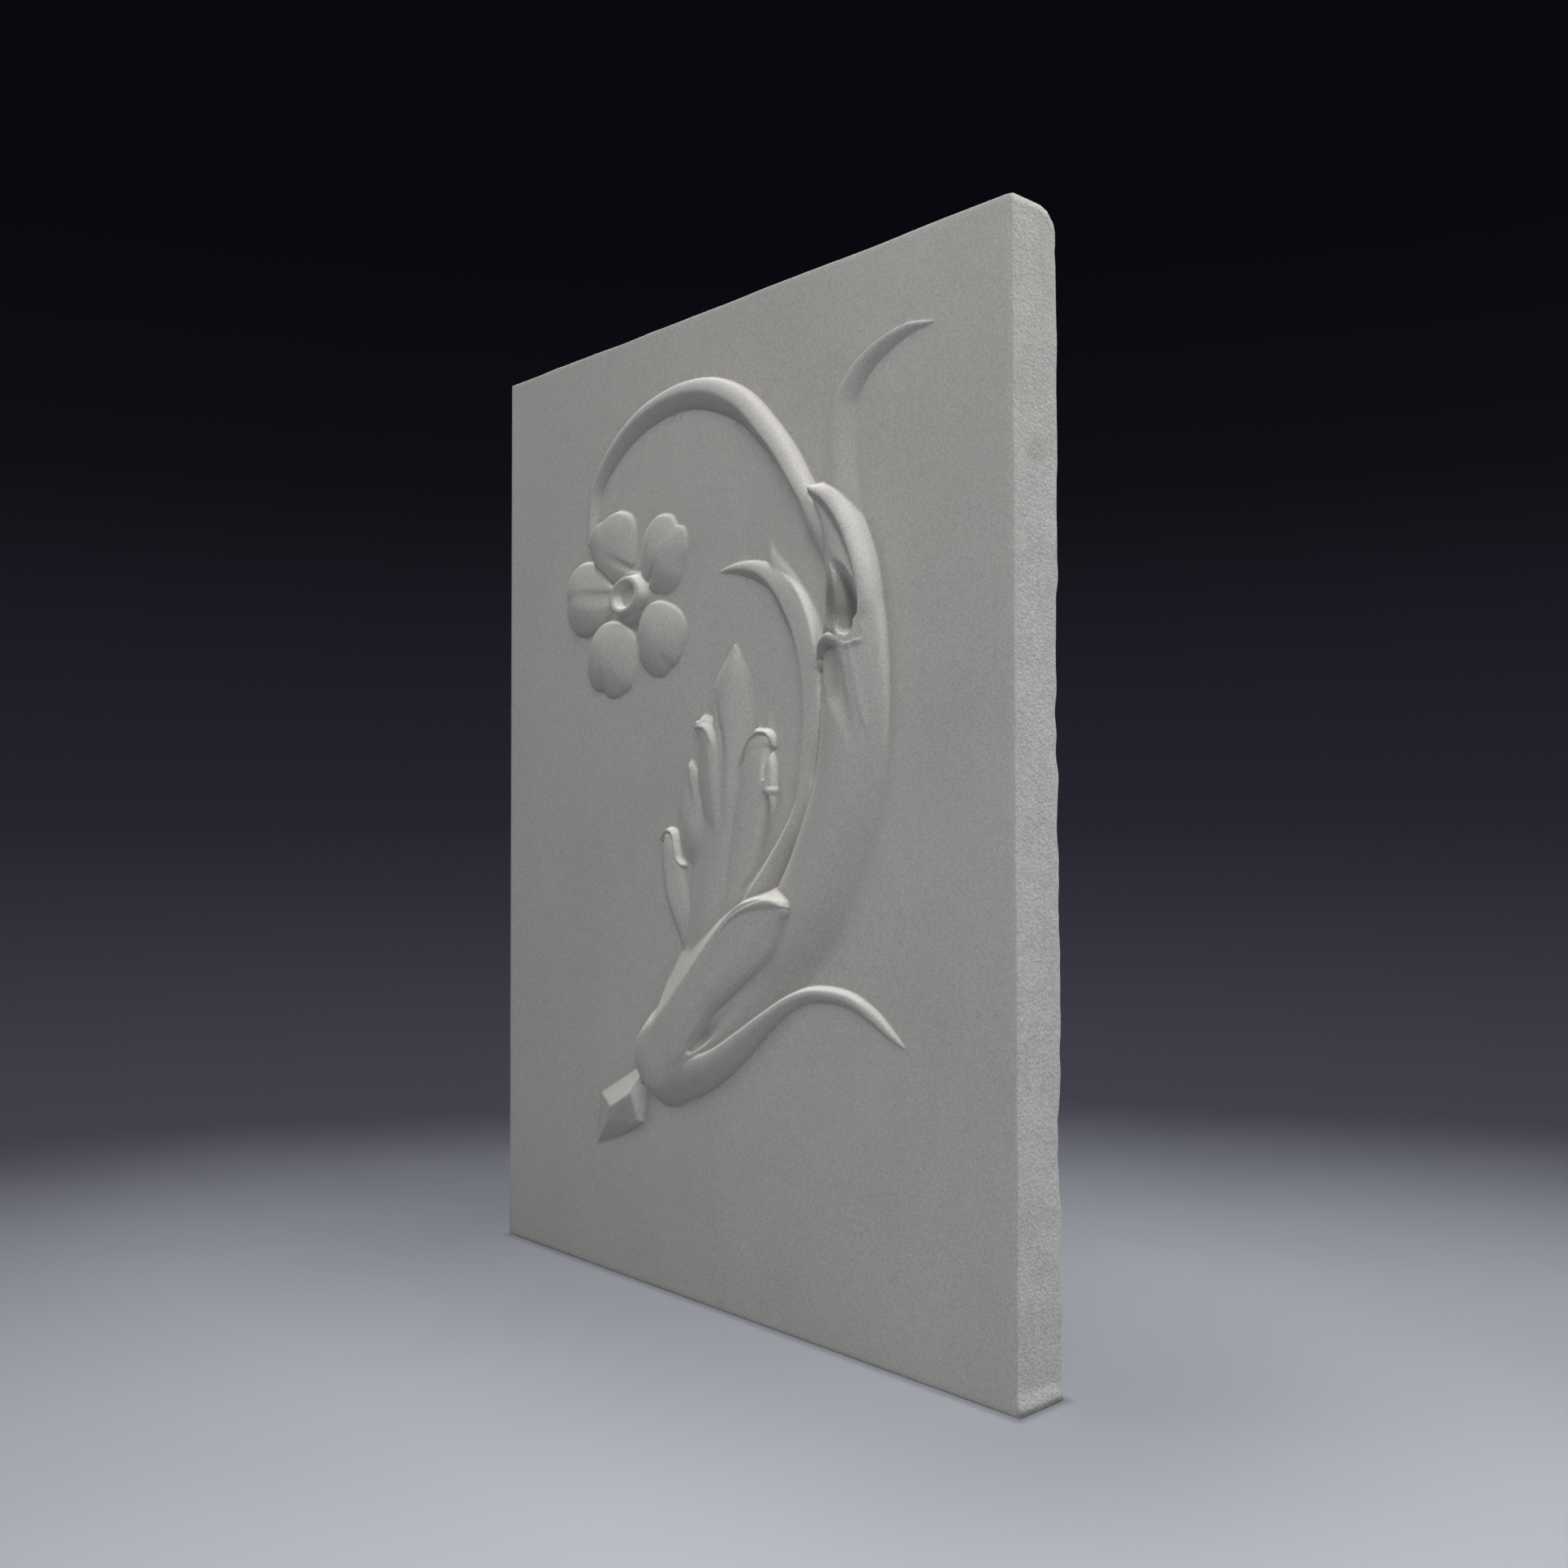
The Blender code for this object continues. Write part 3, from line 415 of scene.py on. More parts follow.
@dataclass(frozen=True)
class ArchedStem(Carving):
    """The stem that leaves the flower, arches over and thickens on its way down into the sheath."""

    stem: Form = Strand(
        (
            (66, 315, 2.4, 2.8, 2.2), (67.2, 325.1, 3, 3.2, 2.6), (69.7, 336.9, 3.6, 3.8, 3),
            (75.9, 345.6, 4, 4.2, 3.5), (85.4, 353.6, 4.6, 4.6, 4), (96.4, 360, 5.1, 4.9, 4.5),
            (108.8, 364.4, 5.6, 5.2, 5), (126.2, 367.1, 5.9, 5.6, 5.6), (142.4, 366.3, 6, 6.6, 6),
            (156.4, 362, 6.2, 7.2, 6.3), (169.6, 354.2, 6.2, 6.6, 6.7), (181.6, 342.7, 6.2, 5.9, 7),
            (192.7, 330.4, 5.8, 5, 7.3), (202.5, 316.6, 5.2, 4.2, 7.4), (211, 303, 4.5, 4, 5.5),
        ),
        bow=(1.7, 1.35), full=(0.6, (0.8, 0.8, 0.8, 0.75, 0.7)), join=0.5,
    )


@dataclass(frozen=True)
class UpperTendril(Carving):
    """The flat leaf that stands behind the sheath and bends over to the right into a point."""

    leaf: Form = Strand(
        (
            (228, 286, 8, 8, 5), (223.5, 305, 8, 8, 4.6), (220.5, 322, 7, 8.5, 3.8), (219.5, 334, 4.5, 9, 3.6),
            (221.5, 346, 2.6, 8, 3.8), (227, 354, 2, 6.6, 3.8), (234.5, 360, 1.7, 5.6, 3.4),
            (244, 364, 1.5, 4.6, 2.8), (254.5, 366, 1.3, 3, 2), (265.5, 365, 0.5, 0.6, 0.5),
        ),
        bow=(2, 1.7), full=(0.6, 1), soften=0.4, join=0.5,
    )


@dataclass(frozen=True)
class Horn(Carving):
    """The broad curved body, like a horn, that rises from the bulb to the sheath's mouth."""

    horn: Form = Strand(
        (
            (150, 116, 12, 8, 4), (172, 130, 15, 10, 6), (190, 145, 17, 17, 7.2), (205, 164, 17, 22, 8.2),
            (216, 186, 16, 21, 8.8), (223.5, 207, 15, 19, 9), (227.5, 230, 16, 17.2, 9),
            (228.5, 250, 16, 16, 8.8), (227.5, 268, 15, 14.8, 8.4), (225, 284, 11, 12.5, 7.4),
            (219.5, 300, 7, 10, 6.6), (212, 312, 3, 3, 6),
        ),
        bow=(2, 2.2), full=(0.6, (1.2, 1.6, 1.6, 1, 0.6, 0.52, 0.55, 0.7)), join=1.2,
    )


@dataclass(frozen=True)
class InnerLeaf(Carving):
    """The long thin leaf along the horn's left side, whose tip curls over to the left, and the faint one behind."""

    leaf: Form = Strand(
        (
            (169.5, 158.5, 6, 6, 5), (188, 178, 6, 5, 5.5), (201.5, 197, 5, 4.5, 5.5),
            (203.8, 211.7, 3.4, 4.6, 5.4), (205.6, 229.5, 2.2, 6, 5.2), (203.9, 248.3, 2.4, 7.5, 5),
            (199.3, 263.6, 2.8, 8.5, 4.8), (192.2, 276, 3.2, 8, 4.6), (183.9, 285, 3.6, 5.5, 4.2),
            (174.7, 289.9, 3.6, 4.2, 3.4), (163.7, 292.1, 2.2, 2.6, 2), (153.3, 292.2, 0.6, 0.6, 0.7),
        ),
        brim=((0, 0, 1, 2, 2.4, 2, 1.5, 0.8, 0.3, 0, 0, 0), (2, 2.5, 3.5, 4.4, 4.6, 4.5, 4.2, 3.2, 1.2, 0, 0, 0)),
        bow=(1.5, 1.8), full=(0.9, 0.8), wall=(3, 2.5), soften=0.6, join=0.5,
    )
    faint: Form = Strand(
        (
            (209.4, 251.3, 5, 4, 4.8), (202.4, 267.3, 6, 4.6, 3.8), (193, 281.4, 6, 4.2, 2.8),
            (185, 291.6, 3, 3.4, 1.8), (182.7, 299.3, 0.6, 0.8, 0.6),
        ),
        brim=((4, 3, 2, 1, 0.2), (3.6, 2.4, 1.6, 0.6, 0)), bow=(1.5, 1.5), full=(1, 1),
        wall=((1, 1, 0.8, 0.6, 0.6), 1.2), soften=1, join=1,
    )


@dataclass(frozen=True)
class LeafCluster(Carving):
    """The body of the leaf cluster, its pointed middle leaf and the hollow beside that leaf."""

    body: Form = Strand(
        (
            (138, 119, 10, 10, 4), (145.5, 141, 14, 13, 5.5), (152, 158.5, 18, 14, 6),
            (156.5, 174.5, 20, 15, 5.6), (158, 190, 18, 16, 4.6), (158.5, 204, 12, 12, 3),
        ),
        full=(1, 1), wall=(1, 1), join=1.5,
    )
    middle: Form = Strand(
        (
            (158, 170.5, 8, 8, 5), (161.5, 198, 9, 9, 4.8), (161.2, 218.7, 10, 11.5, 4.5),
            (160.3, 237.5, 10, 12.5, 4.2), (161.4, 249.5, 8.8, 9.6, 3.4), (162.1, 261.3, 0.9, 1.6, 1.4),
        ),
        brim=((1.5, 1.8, 2, 2, 1.6, 0.5), (1, 0.6, 0, 0, 0, 0)), bow=(1.8, 1.6), full=(0.9, 1.2), wall=(3, 1.5),
    )
    hollow: Form = Channel(
        (
            (153.5, 242.6, 2, 2.4, 0), (155, 232.7, 4, 4.4, 1.8), (157.7, 221.8, 4.6, 5, 1.8),
            (159, 205.9, 3.4, 4, 0),
        ),
        full=(1.2, 1.2), wall=(0.5, 0.5), join=1,
    )


@dataclass(frozen=True)
class CurledLeaf(Carving):
    """The left leaf of the cluster, whose top folds over, and the soft low leaf at its left."""

    low: Form = Lobe((138.5, 190), 95, 21, 15, 11.5, 3.8, 0, square=2, bow=1.7, full=1, wall=2, join=1.5)
    tip: Form = Strand(
        (
            (141.2, 199, 6, 6, 2.6), (137.5, 207.9, 4, 6, 2.6), (135, 215.4, 1.8, 2.4, 2.4),
        ),
        bow=(1.5, 1.6), full=(1, 1), wall=(1.2, 1.5), join=1.6,
    )
    leaf: Form = Strand(
        (
            (158, 168, 4, 6, 5), (157.3, 184.1, 7, 6, 5), (154.4, 196.9, 9, 6, 5), (152.4, 209.8, 11, 5, 5),
            (151.2, 221.6, 10.5, 4.6, 5.2), (148, 228.5, 7, 3.4, 5), (144.1, 231.5, 3, 1.6, 4.4),
        ),
        brim=((2, 2.4, 2.4, 2.2, 2.2, 3, 3.6), (4, 3.6, 3.2, 2.8, 2.4, 3, 3.6)), bow=(1.3, 1.8), full=(1, 1),
        wall=(3, 1.2), join=0.5,
    )
    fold: Form = Strand(
        (
            (152.5, 218.2, 0.6, 0.9, 4.2), (152.2, 224.1, 1.2, 1.6, 5.2), (148.8, 229.5, 1.8, 2, 5.6),
            (144.1, 230.9, 1.2, 1.4, 5.1), (140.6, 230.4, 0.7, 0.6, 4),
        ),
        brim=((4, 4.2, 4.2, 4, 3), (3, 3, 3, 3, 3)), bow=(1.5, 1.4), full=(1, 1), wall=(2.5, 2.4), soften=0.5,
        join=0.4,
    )


@dataclass(frozen=True)
class LowLeaf(Carving):
    """The lowest leaf of the cluster, on the left, with the rim that curls back from its tip."""

    leaf: Form = Strand(
        (
            (133, 144, 4, 6, 1.2), (124.2, 162.3, 4.4, 7, 3.2), (121.7, 174.2, 4.2, 6, 3.2),
            (120.8, 181.1, 3.8, 4.6, 3.2), (121, 186.1, 2.6, 2.2, 2.8),
        ),
        brim=(0.5, (0.5, 1.6, 2.2, 2.2, 2)), bow=(2, 1.6), full=(0.8, 1), wall=(2.5, 0.9), join=1,
    )
    rim: Form = Strand(
        (
            (117, 185.7, 0.6, 0.7, 2.4), (120.8, 189, 0.8, 1, 3.2), (125.2, 188, 0.9, 1.1, 3.6),
            (126.9, 183.1, 0.8, 1.2, 3.8), (127.8, 177.9, 0.7, 1, 3.5), (130.5, 175.1, 0.6, 0.7, 3),
        ),
        brim=((2, 2.2, 2.4, 2.4, 2.2, 2), (1, 1.6, 1.8, 1.8, 1.6, 1.4)), bow=(2, 1.8), full=(0.8, 0.8),
        wall=(3, 2), soften=0.5, join=0.7,
    )


@dataclass(frozen=True)
class HoodedLeaf(Carving):
    """The right leaf of the cluster, with a fold over its tip like a hood, a bud and a slot beside it."""

    leaf: Form = Strand(
        (
            (161, 155.5, 7, 8, 5), (167.4, 178.2, 8, 9, 5.2), (173.4, 199.9, 8.4, 10.8, 4.9),
            (175.3, 212.8, 7.4, 10, 4.4), (175.4, 220.7, 5.4, 7.5, 3.6),
        ),
        brim=((1.1, 1.1, 1.5, 1.8, 2), (2, 3, 3.6, 3.2, 2.4)), bow=(2, 1.8), full=(0.6, 0.9), wall=(3, 2.5),
    )
    fold: Form = Strand(
        (
            (165.8, 210.8, 0.6, 0.8, 2.8), (168.1, 217.2, 0.7, 1, 3.5), (172, 223.3, 0.8, 1.1, 4),
            (177.1, 226.8, 0.8, 1.1, 4.3), (181.8, 227, 0.8, 1.2, 4), (184.3, 225.1, 0.7, 1.2, 3.5),
            (184.7, 221.8, 0.5, 0.8, 2.2),
        ),
        brim=(2.2, (2, 2, 2.4, 2.6, 2.6, 2.4, 1.6)), full=(1, 1), wall=(3.5, 3), soften=0.4, join=0.4,
    )
    slot: Form = Channel(
        (
            (182.6, 223.4, 1, 0.9, 0.8), (182.8, 220.2, 2.1, 1.9, 2.8), (181.8, 213.9, 1.5, 1.5, 2.2),
            (181.8, 209.4, 1.2, 1.2, 1.4),
        ),
        full=(0.9, 0.9), wall=(2, 2), join=0.5,
    )
    furrow: Form = Channel(
        (
            (182.9, 203, 2.2, 2, 2.4), (181.7, 197, 3, 2.4, 3.8), (179.6, 188.5, 3, 2.4, 3.8),
            (176.9, 180.1, 2.6, 2, 3), (173.7, 171.7, 2, 1.6, 2), (168.9, 164.3, 1.2, 1, 0),
        ),
        bow=(2.5, 2.5), full=(0.9, 0.9), wall=(2, 2), join=0.4,
    )
    bud: Form = Lobe((184.4, 204.5), 60, 1.7, 1.7, 1.6, 4.8, 3.4, bow=2, full=0.8, wall=3.5, join=0.5)


@dataclass(frozen=True)
class UpperSheath(Carving):
    """The sheath's mouth: a crest that runs up to the lip under the stem, and the hollow that opens beside it."""

    inside: Form = Strand(
        (
            (205.5, 312, 2.6, 3, 6.6), (211, 303.6, 4, 5, 6.2), (217, 296.6, 4.6, 6, 5.6),
            (222.4, 289.5, 4.6, 6, 5), (227, 283, 3, 4, 4.2),
        ),
        brim=((5.6, 5.2, 4.6, 4, 3), 4), bow=(1.6, 2), full=(1, 1), wall=(2.5, 2), soften=0.5, join=0.4,
    )
    crest: Form = Strand(
        (
            (235.5, 249, 3, 3, 6.2), (237.5, 258, 2.6, 4.4, 7), (235.9, 263.6, 3, 4.6, 7.8),
            (236.7, 271.3, 5, 4.8, 8.5), (235.4, 281.9, 6.6, 4.4, 9.2), (232, 291.7, 7.2, 4.2, 9.4),
            (227.2, 300.9, 7.4, 4.2, 9.4), (219.6, 309.6, 6, 4.6, 9.2), (210.5, 314.9, 2, 2, 7.8),
        ),
        brim=((5, 5, 4.6, 3.6, 3.4, 4.4, 5, 5.2, 5.4), (5, 2, 0.5, 0.5, 1, 2, 3, 4, 5)), bow=(1, 2),
        full=((1, 1, 1, 1.1, 1.3, 1.4, 1.4, 1.3, 1), 0.9), wall=(3.5, 3.5), join=0.5,
    )
    hollow: Form = Channel(
        (
            (222, 287, 3, 1.2, 0.6), (225.6, 280, 6, 2.2, 3.4), (227.6, 272.5, 8, 3, 5.4),
            (228.4, 267, 8, 4, 6.4), (229, 263.4, 5, 4, 6.4),
        ),
        bow=(1.5, 2), full=(0.8, 0.5), soften=0.6, join=0.5,
    )


@dataclass(frozen=True)
class MiddleSheath(Carving):
    """The lip of the second sheath, below the mouth, the scoop under it and the ridge that runs down from it."""

    scoop: Form = Channel(
        (
            (220.6, 257.1, 6.5, 7, 3), (222.1, 250.2, 8.5, 8, 3.2), (225.7, 240.2, 8.5, 6.6, 2.2),
            (230.6, 230.3, 6, 4.4, 1), (234.3, 220.4, 3, 3, 0),
        ),
        bow=(2, 2), full=(1.6, 0.9), join=1,
    )
    lip: Form = Strand(
        (
            (213.4, 253.6, 2, 1.4, 4.8), (215.1, 257.2, 2.8, 2.2, 6.4), (219.5, 259.8, 3.2, 3, 7.9),
            (225.3, 258.2, 3.6, 3.6, 8.8), (231, 255.8, 3.4, 3.6, 9.3), (235.6, 257.2, 2.6, 2.8, 9.2),
        ),
        brim=((4, 3, 1, 1, 1, 1), (3.4, 4.4, 5.2, 5.4, 6, 6.4)), bow=(2, 1.5), full=(0.55, 1), wall=(3, 2),
        soften=0.9, join=0.9,
    )
    ridge: Form = Strand(
        (
            (239, 220, 2, 2, 4), (238, 228, 3.6, 3.2, 7.4), (235.5, 242, 5, 4.4, 8.4),
            (233.5, 250, 4.6, 4.2, 8.8), (232, 256, 3, 3, 9),
        ),
        brim=((0, 3.4, 4.6, 4.8, 5), (0, 2.6, 3.4, 4, 5)), bow=(1.7, 1.6), full=(1, 1), wall=(1, 3), join=1.2,
    )


@dataclass(frozen=True)
class Bulb(Carving):
    """The bulb at the foot of the plant, and the floor of the notch that opens on its right."""

    bulb: Form = Lobe((123, 98), 34, 38, 22, 20.6, 12.1, 0, square=2.2, full=0.5, wall=1.3, join=0.9)
    floor: Form = Strand(
        (
            (135, 100, 10, 10, 10), (150, 109, 10, 10, 7.6), (168, 122, 11, 11, 6.4), (185, 137, 13, 12, 6.2),
            (200, 152, 14, 12, 6.5),
        ),
        brim=(4, (4, 4, 3, 2, 2)), full=(1, 1), wall=(0.8, 0.8), join=1.5,
    )


@dataclass(frozen=True)
class FrontSheath(Carving):
    """The broad sheath that wraps up and to the right from the bulb, with a thin bright rim along its tip."""

    sheath: Form = Strand(
        (
            (116, 97, 5, 3, 9.6), (128, 105, 8, 12, 12), (141, 114.5, 9.5, 8.4, 12.2),
            (152.5, 124.5, 10.5, 6.5, 12), (162.5, 133, 12, 7.5, 11.8), (173, 142.5, 13, 9.5, 11.4),
            (183, 151, 12.5, 10.5, 11.2), (190.5, 157, 8, 8, 11.2), (197, 160.5, 3, 3, 11.2),
        ),
        brim=((9, 11.4, 12, 12, 12, 11.8, 11.6, 11.4, 11.2), (9, 10.6, 10.8, 10.2, 9.8, 9.4, 9.4, 9.6, 10.4)),
        bow=(2, 1.8), full=(1, 1),
        wall=((1.2, 0.88, 0.72, 0.7, 0.85, 1.3, 2.4, 3, 3), (1.2, 1.4, 2.4, 2.6, 2.6, 2.6, 2.6, 2.8, 3)),
        soften=1.2, join=1,
    )
    rim: Form = Strand(
        (
            (154, 137, 0.8, 1, 11.2), (162, 147.5, 1, 1.4, 12), (170.5, 155.5, 1, 1.5, 12.2),
            (179, 160, 1.1, 2, 12.3), (187.5, 162.4, 1.6, 3, 12.4), (194, 163, 1.8, 3.4, 12.4),
            (199, 162, 1.2, 1.6, 12),
        ),
        brim=((11, 10, 9.5, 9.5, 9.5, 9.5, 9.5), (11, 11.2, 11, 11, 10.8, 10.6, 10.2)), full=(1, 1.2),
        wall=(2.2, 2.4),
    )
    notch: Form = Channel(
        (
            (144, 102, 1.8, 1.8, 1.4), (149, 106.5, 3.2, 3, 2.4), (157, 112.5, 4, 3.4, 1), (168, 121, 3, 3, 0),
        ),
        full=(1, 1), wall=(2, 2),
    )


@dataclass(frozen=True)
class LowerTendril(Carving):
    """The tendril that leaves the bulb's underside, thins out and droops to a point on the right."""

    tendril: Form = Strand(
        (
            (114, 91, 6, 10.5, 9), (125, 91, 6, 12, 10), (136, 94, 5, 12, 9.5), (145.5, 97.5, 3.5, 11, 9.2),
            (155.5, 102, 2.6, 9.3, 7.8), (168, 109.5, 2.4, 7.2, 6.6), (180.5, 117.5, 2.2, 4.8, 5.8),
            (192, 124.5, 2.2, 3.6, 4.6), (203.5, 129, 2.2, 3.2, 3.9), (215, 130, 2.4, 3.2, 3.7),
            (226.5, 128.5, 2.6, 3.4, 3.4), (237, 123.5, 2.6, 3, 2.9), (245, 118, 1.8, 2, 1.9),
            (251, 114, 0.6, 0.6, 0.6),
        ),
        brim=((8, 9, 8, 6, 5, 4.4, 3.4, 2, 1, 0.5, 0, 0, 0, 0), 0), bow=(2, 1.9), full=(0.7, 0.75),
        wall=(2.5, 2.5), soften=0.5, join=0.6,
    )


@dataclass(frozen=True)
class StemEnd(Carving):
    """The cut end of the stem below the bulb, whittled to facets."""

    block: Form = Facets(
        (84.4, 69), 26,
        (
            (8, 0.7, CUT_HEIGHT, 0.02, -0.8), (8, 0.7, CUT_HEIGHT, -0.03, 0.5),
            (3, -1.9, CUT_HEIGHT, 0.14, 0.92), (0, -10.2, 0, 0, 3), (8, 0.9, CUT_HEIGHT, 0.39, -0.26),
            (-22.5, 0, 0, 2.5, 0), (16.5, -9.7, 0, -3.18, 2.42), (0, 11.6, 0, 0, -2.5),
        ),
    )


@dataclass(frozen=True)
class Flower(Carving):
    """Five flat petals about an oval eye, with the creases between and across them."""

    base: Form = Lobe((97, 288), 0, 12, 12, 12, 2.4, 1.2, bow=2, wall=1, join=1.5)
    petals: tuple[Form, ...] = (
        Lobe(
            (83.5, 312), 101, 13.6, 17, 15, 5.6, 1.3, square=2.7, taper=0.1, lean=0.12, roll=0.12, bow=2.1,
            notches=((14, 12, 0.05), (-40, 14, 0.04)),
        ),
        Lobe(
            (117, 303.2), 76, 17, 15.4, 14.6, 6, 1, square=2.5, lean=0.03, roll=0.06, bow=1.8, full=0.9,
            notches=((-27, 13, 0.15), (-100, 16, 0.05)),
        ),
        Lobe(
            (115.4, 269.4), -110, 15.8, 14.4, 15, 6, 1.2, square=2.4, taper=-0.08, roll=-0.06, bow=1.8,
            full=0.9, notches=((48, 13, 0.09), (-62, 15, 0.08)),
        ),
        Lobe(
            (82, 263.8), -100, 17, 15, 16.2, 6.4, 1.3, square=2.5, taper=0.06, roll=-0.07, bow=1.8, full=0.9,
            notches=((-16, 11, 0.12), (34, 12, 0.05)),
        ),
        Lobe(
            (65.5, 291), 180, 15.5, 16, 15.5, 6.4, 1.8, square=2.4, taper=0.12, lean=0.1, bow=1.7, full=0.85,
            notches=((4, 12, 0.07),),
        ),
    )
    creases: tuple[Form, ...] = tuple(
        Channel(rows, full=(1.2, 1.2), wall=(1, 1), join=0.8)
        for rows in (
            ((58, 292, 3, 4.5, 0), (66, 291.5, 4, 6, 0.7), (76, 290.5, 4, 6, 0.9), (83, 290.5, 3, 2.5, 0.8)),
            ((72, 305, 1.8, 1.8, 0), (78, 299.5, 2, 2.4, 1.1), (83, 294, 2, 2, 1.4)),
            (
                (84, 306.5, 2.4, 3.2, 0), (90, 303, 2.8, 3.6, 0.8), (96, 300.5, 2.4, 3.2, 1.2),
                (103, 298.5, 2, 2.2, 1),
            ),
            ((118, 300, 1.5, 1.5, 0), (112, 295, 2.2, 2.2, 0.8), (107, 292, 2.4, 2.4, 1.2)),
        )
    )
    drum: Form = Lobe((96, 285.2), 20, 8.2, 8.4, 8.6, 4.6, 1.6, bow=4, full=0.5, wall=2.8)
    eye: Form = Eye((97.6, 288.2), 20, 16.6, 12.8, 1.6, 5.8, 0.06, 3.4)


@dataclass(frozen=True)
class Ground:
    """The uneven ground that the carver left flat: layers of (height, length, seed), in metres."""

    layers: Rows = ((0.00016, 0.055, 3.1), (0.00004, 0.011, 8.7))

    def offsets(self, x: Array, z: Array) -> Array:
        """How far the ground stands back at each place."""
        return sum(size * noise_values(x / length, z / length, seed) for size, length, seed in self.layers)


@dataclass(frozen=True)
class RoughCast:
    """The unevenness of the slab's sides and back, in metres."""

    lumps: float = 0.00045
    lump_length: float = 0.012
    pits: float = 0.00025
    pit_length: float = 0.0042
    pit_seed: float = 40
    back_swell: float = 0.00045
    back_length: float = 0.034
    scrape_share: float = 0.4
    scrape_squeeze: Values = (1, 1, 0.25)

    def depth(self, points: Array) -> Array:
        """How far each point of a side is sunk below the side's plane.

        Args:
            points: The points, a row for each.

        Returns:
            The depths.
        """
        lumps = noise_values(*points.T / self.lump_length)
        pits = noise_values(*points.T / self.pit_length + self.pit_seed)
        return self.lumps * (0.5 + 0.5 * lumps) + self.pits * np.clip(pits, 0, 1) ** 2

    def back(self, points: Array) -> Array:
        """How far each point of the back is sunk below the back's plane.

        Args:
            points: The points, a row for each.

        Returns:
            The depths.
        """
        swell = noise_values(*points.T / self.back_length)
        scrape = noise_values(*(points * self.scrape_squeeze).T / self.lump_length)
        return self.back_swell * (0.5 + 0.5 * swell) + self.scrape_share * self.lumps * (0.5 + 0.5 * scrape)


class Zone(Enum):
    """Which part of the face a pass of subdivision reaches."""

    CARVED = "carved"
    STEEP = "steep"


@dataclass
class Relief:
    """The slab with its carving, one cast body. Sizes are in metres, and those of the sheet in millimetres.

    The waves of the outline are (radians per metre, share, phase), and calm is what is left of them on the straight
    edges. The back edge of the right side is spared from breakage at spared_break: (height, reach, share).
    """

    name: str = "cast_relief"
    width: float = 0.300
    height: float = 0.400
    thickness: float = 0.0250
    front_round: float = 0.0013
    back_round: float = 0.0012
    back_breakage: float = 0.0028
    break_bow: float = 1.5
    spared_break: Values = (0.348, 0.050, 0.90)
    unbroken_foot: float = 0.0040
    chip: float = 0.0017
    chip_length: float = 0.0090
    chip_seed: float = 2.5
    chip_least: float = -0.4
    outline_wander: float = 0.0006
    waves: Rows = ((37, 1.0, 1.0), (91, 0.7, 2.4), (173, 0.5, 0.0))
    side_phase: float = 0.11
    calm: float = 0.15
    top_slope_depth: float = 0.0110
    top_slope_drop: float = 0.0150
    top_slope_reach: float = 0.0600
    top_slope_share: float = 0.3
    top_slope_bow: float = 2.35
    foot_lip: float = 0.00054
    foot_lip_height: float = 0.0050
    foot_lip_slant: Pair = (1.2, 0.35)
    ledge: float = 0.0008
    foot_hollow: float = 0.0009
    foot_hollow_reach: float = 0.0300
    lap: float = 0.0045
    lap_rise: float = 0.0006
    relief_depth: float = 0.01236
    sheet: Values = (300, 400, 12.4)
    columns: int = 62
    rows: int = 83
    side_cuts: int = 3
    face_cuts: int = 2
    steep_rise: float = 0.00045
    triangles: int = 194_000
    ground: Ground = field(default_factory=Ground)
    cast: RoughCast = field(default_factory=RoughCast)
    carvings: tuple[Carving, ...] = (
        ArchedStem(), UpperTendril(), Horn(), InnerLeaf(), LeafCluster(), CurledLeaf(), LowLeaf(), HoodedLeaf(),
        UpperSheath(), MiddleSheath(), Bulb(), FrontSheath(), LowerTendril(), StemEnd(), Flower(),
    )

    @property
    def bands(self) -> int:
        """Bands of faces round the side, from front to back."""
        return (self.side_cuts + 1) * (self.face_cuts + 1)

    @property
    def outline(self) -> Values:
        """Half the width of the straight-sided body, and its foot and top."""
        return self.width / 2 - self.front_round, self.front_round, self.height - self.front_round

    def carved(self, x: Array, z: Array) -> Array:
        """Height of the carving over the ground.

        Args:
            x: Places across the face, in metres.
            z: Places up the face, in metres.

        Returns:
            The heights, in metres.
        """
        sheet_width, sheet_height, sheet_depth = self.sheet
        sheet_x = (x / self.width + 0.5) * sheet_width
        sheet_z = z / self.height * sheet_height
        height = np.zeros_like(sheet_x)
        for carving in self.carvings:
            for form in carving.forms():
                height = form.carve(height, sheet_x, sheet_z)
        return height * self.relief_depth / sheet_depth

    def start_body(self) -> bpy.types.Object:
        """A grid for the face, a copy of it for the back, and the side bridged between them.

        Returns:
            The straight-sided body, left in edit mode.
        """
        bpy.ops.object.select_all(action="DESELECT")
        bpy.ops.mesh.primitive_grid_add(
            x_subdivisions=self.columns,
            y_subdivisions=self.rows,
            size=1,
            location=(0, 0, self.height / 2),
            rotation=(math.pi / 2, 0, 0),
        )
        body = bpy.context.object
        body.name = self.name
        body.data.name = self.name
        body.scale = (self.width - 2 * self.front_round, self.height - 2 * self.front_round, 1)
        bpy.ops.object.transform_apply(location=True, rotation=True, scale=True)
        bpy.ops.object.mode_set(mode="EDIT")
        bpy.ops.mesh.select_mode(type="EDGE")
        bpy.ops.mesh.select_all(action="SELECT")
        bpy.ops.mesh.duplicate()
        bpy.ops.transform.translate(value=(0, self.thickness, 0))
        bpy.ops.mesh.flip_normals()
        bm = bmesh.from_edit_mesh(body.data)
        for edge in bm.edges:
            edge.select_set(edge.is_boundary)
        bmesh.update_edit_mesh(body.data)
        bpy.ops.mesh.bridge_edge_loops(number_cuts=self.side_cuts, interpolation="LINEAR")
        bpy.ops.mesh.select_all(action="SELECT")
        bpy.ops.mesh.normals_make_consistent(inside=False)
        return body

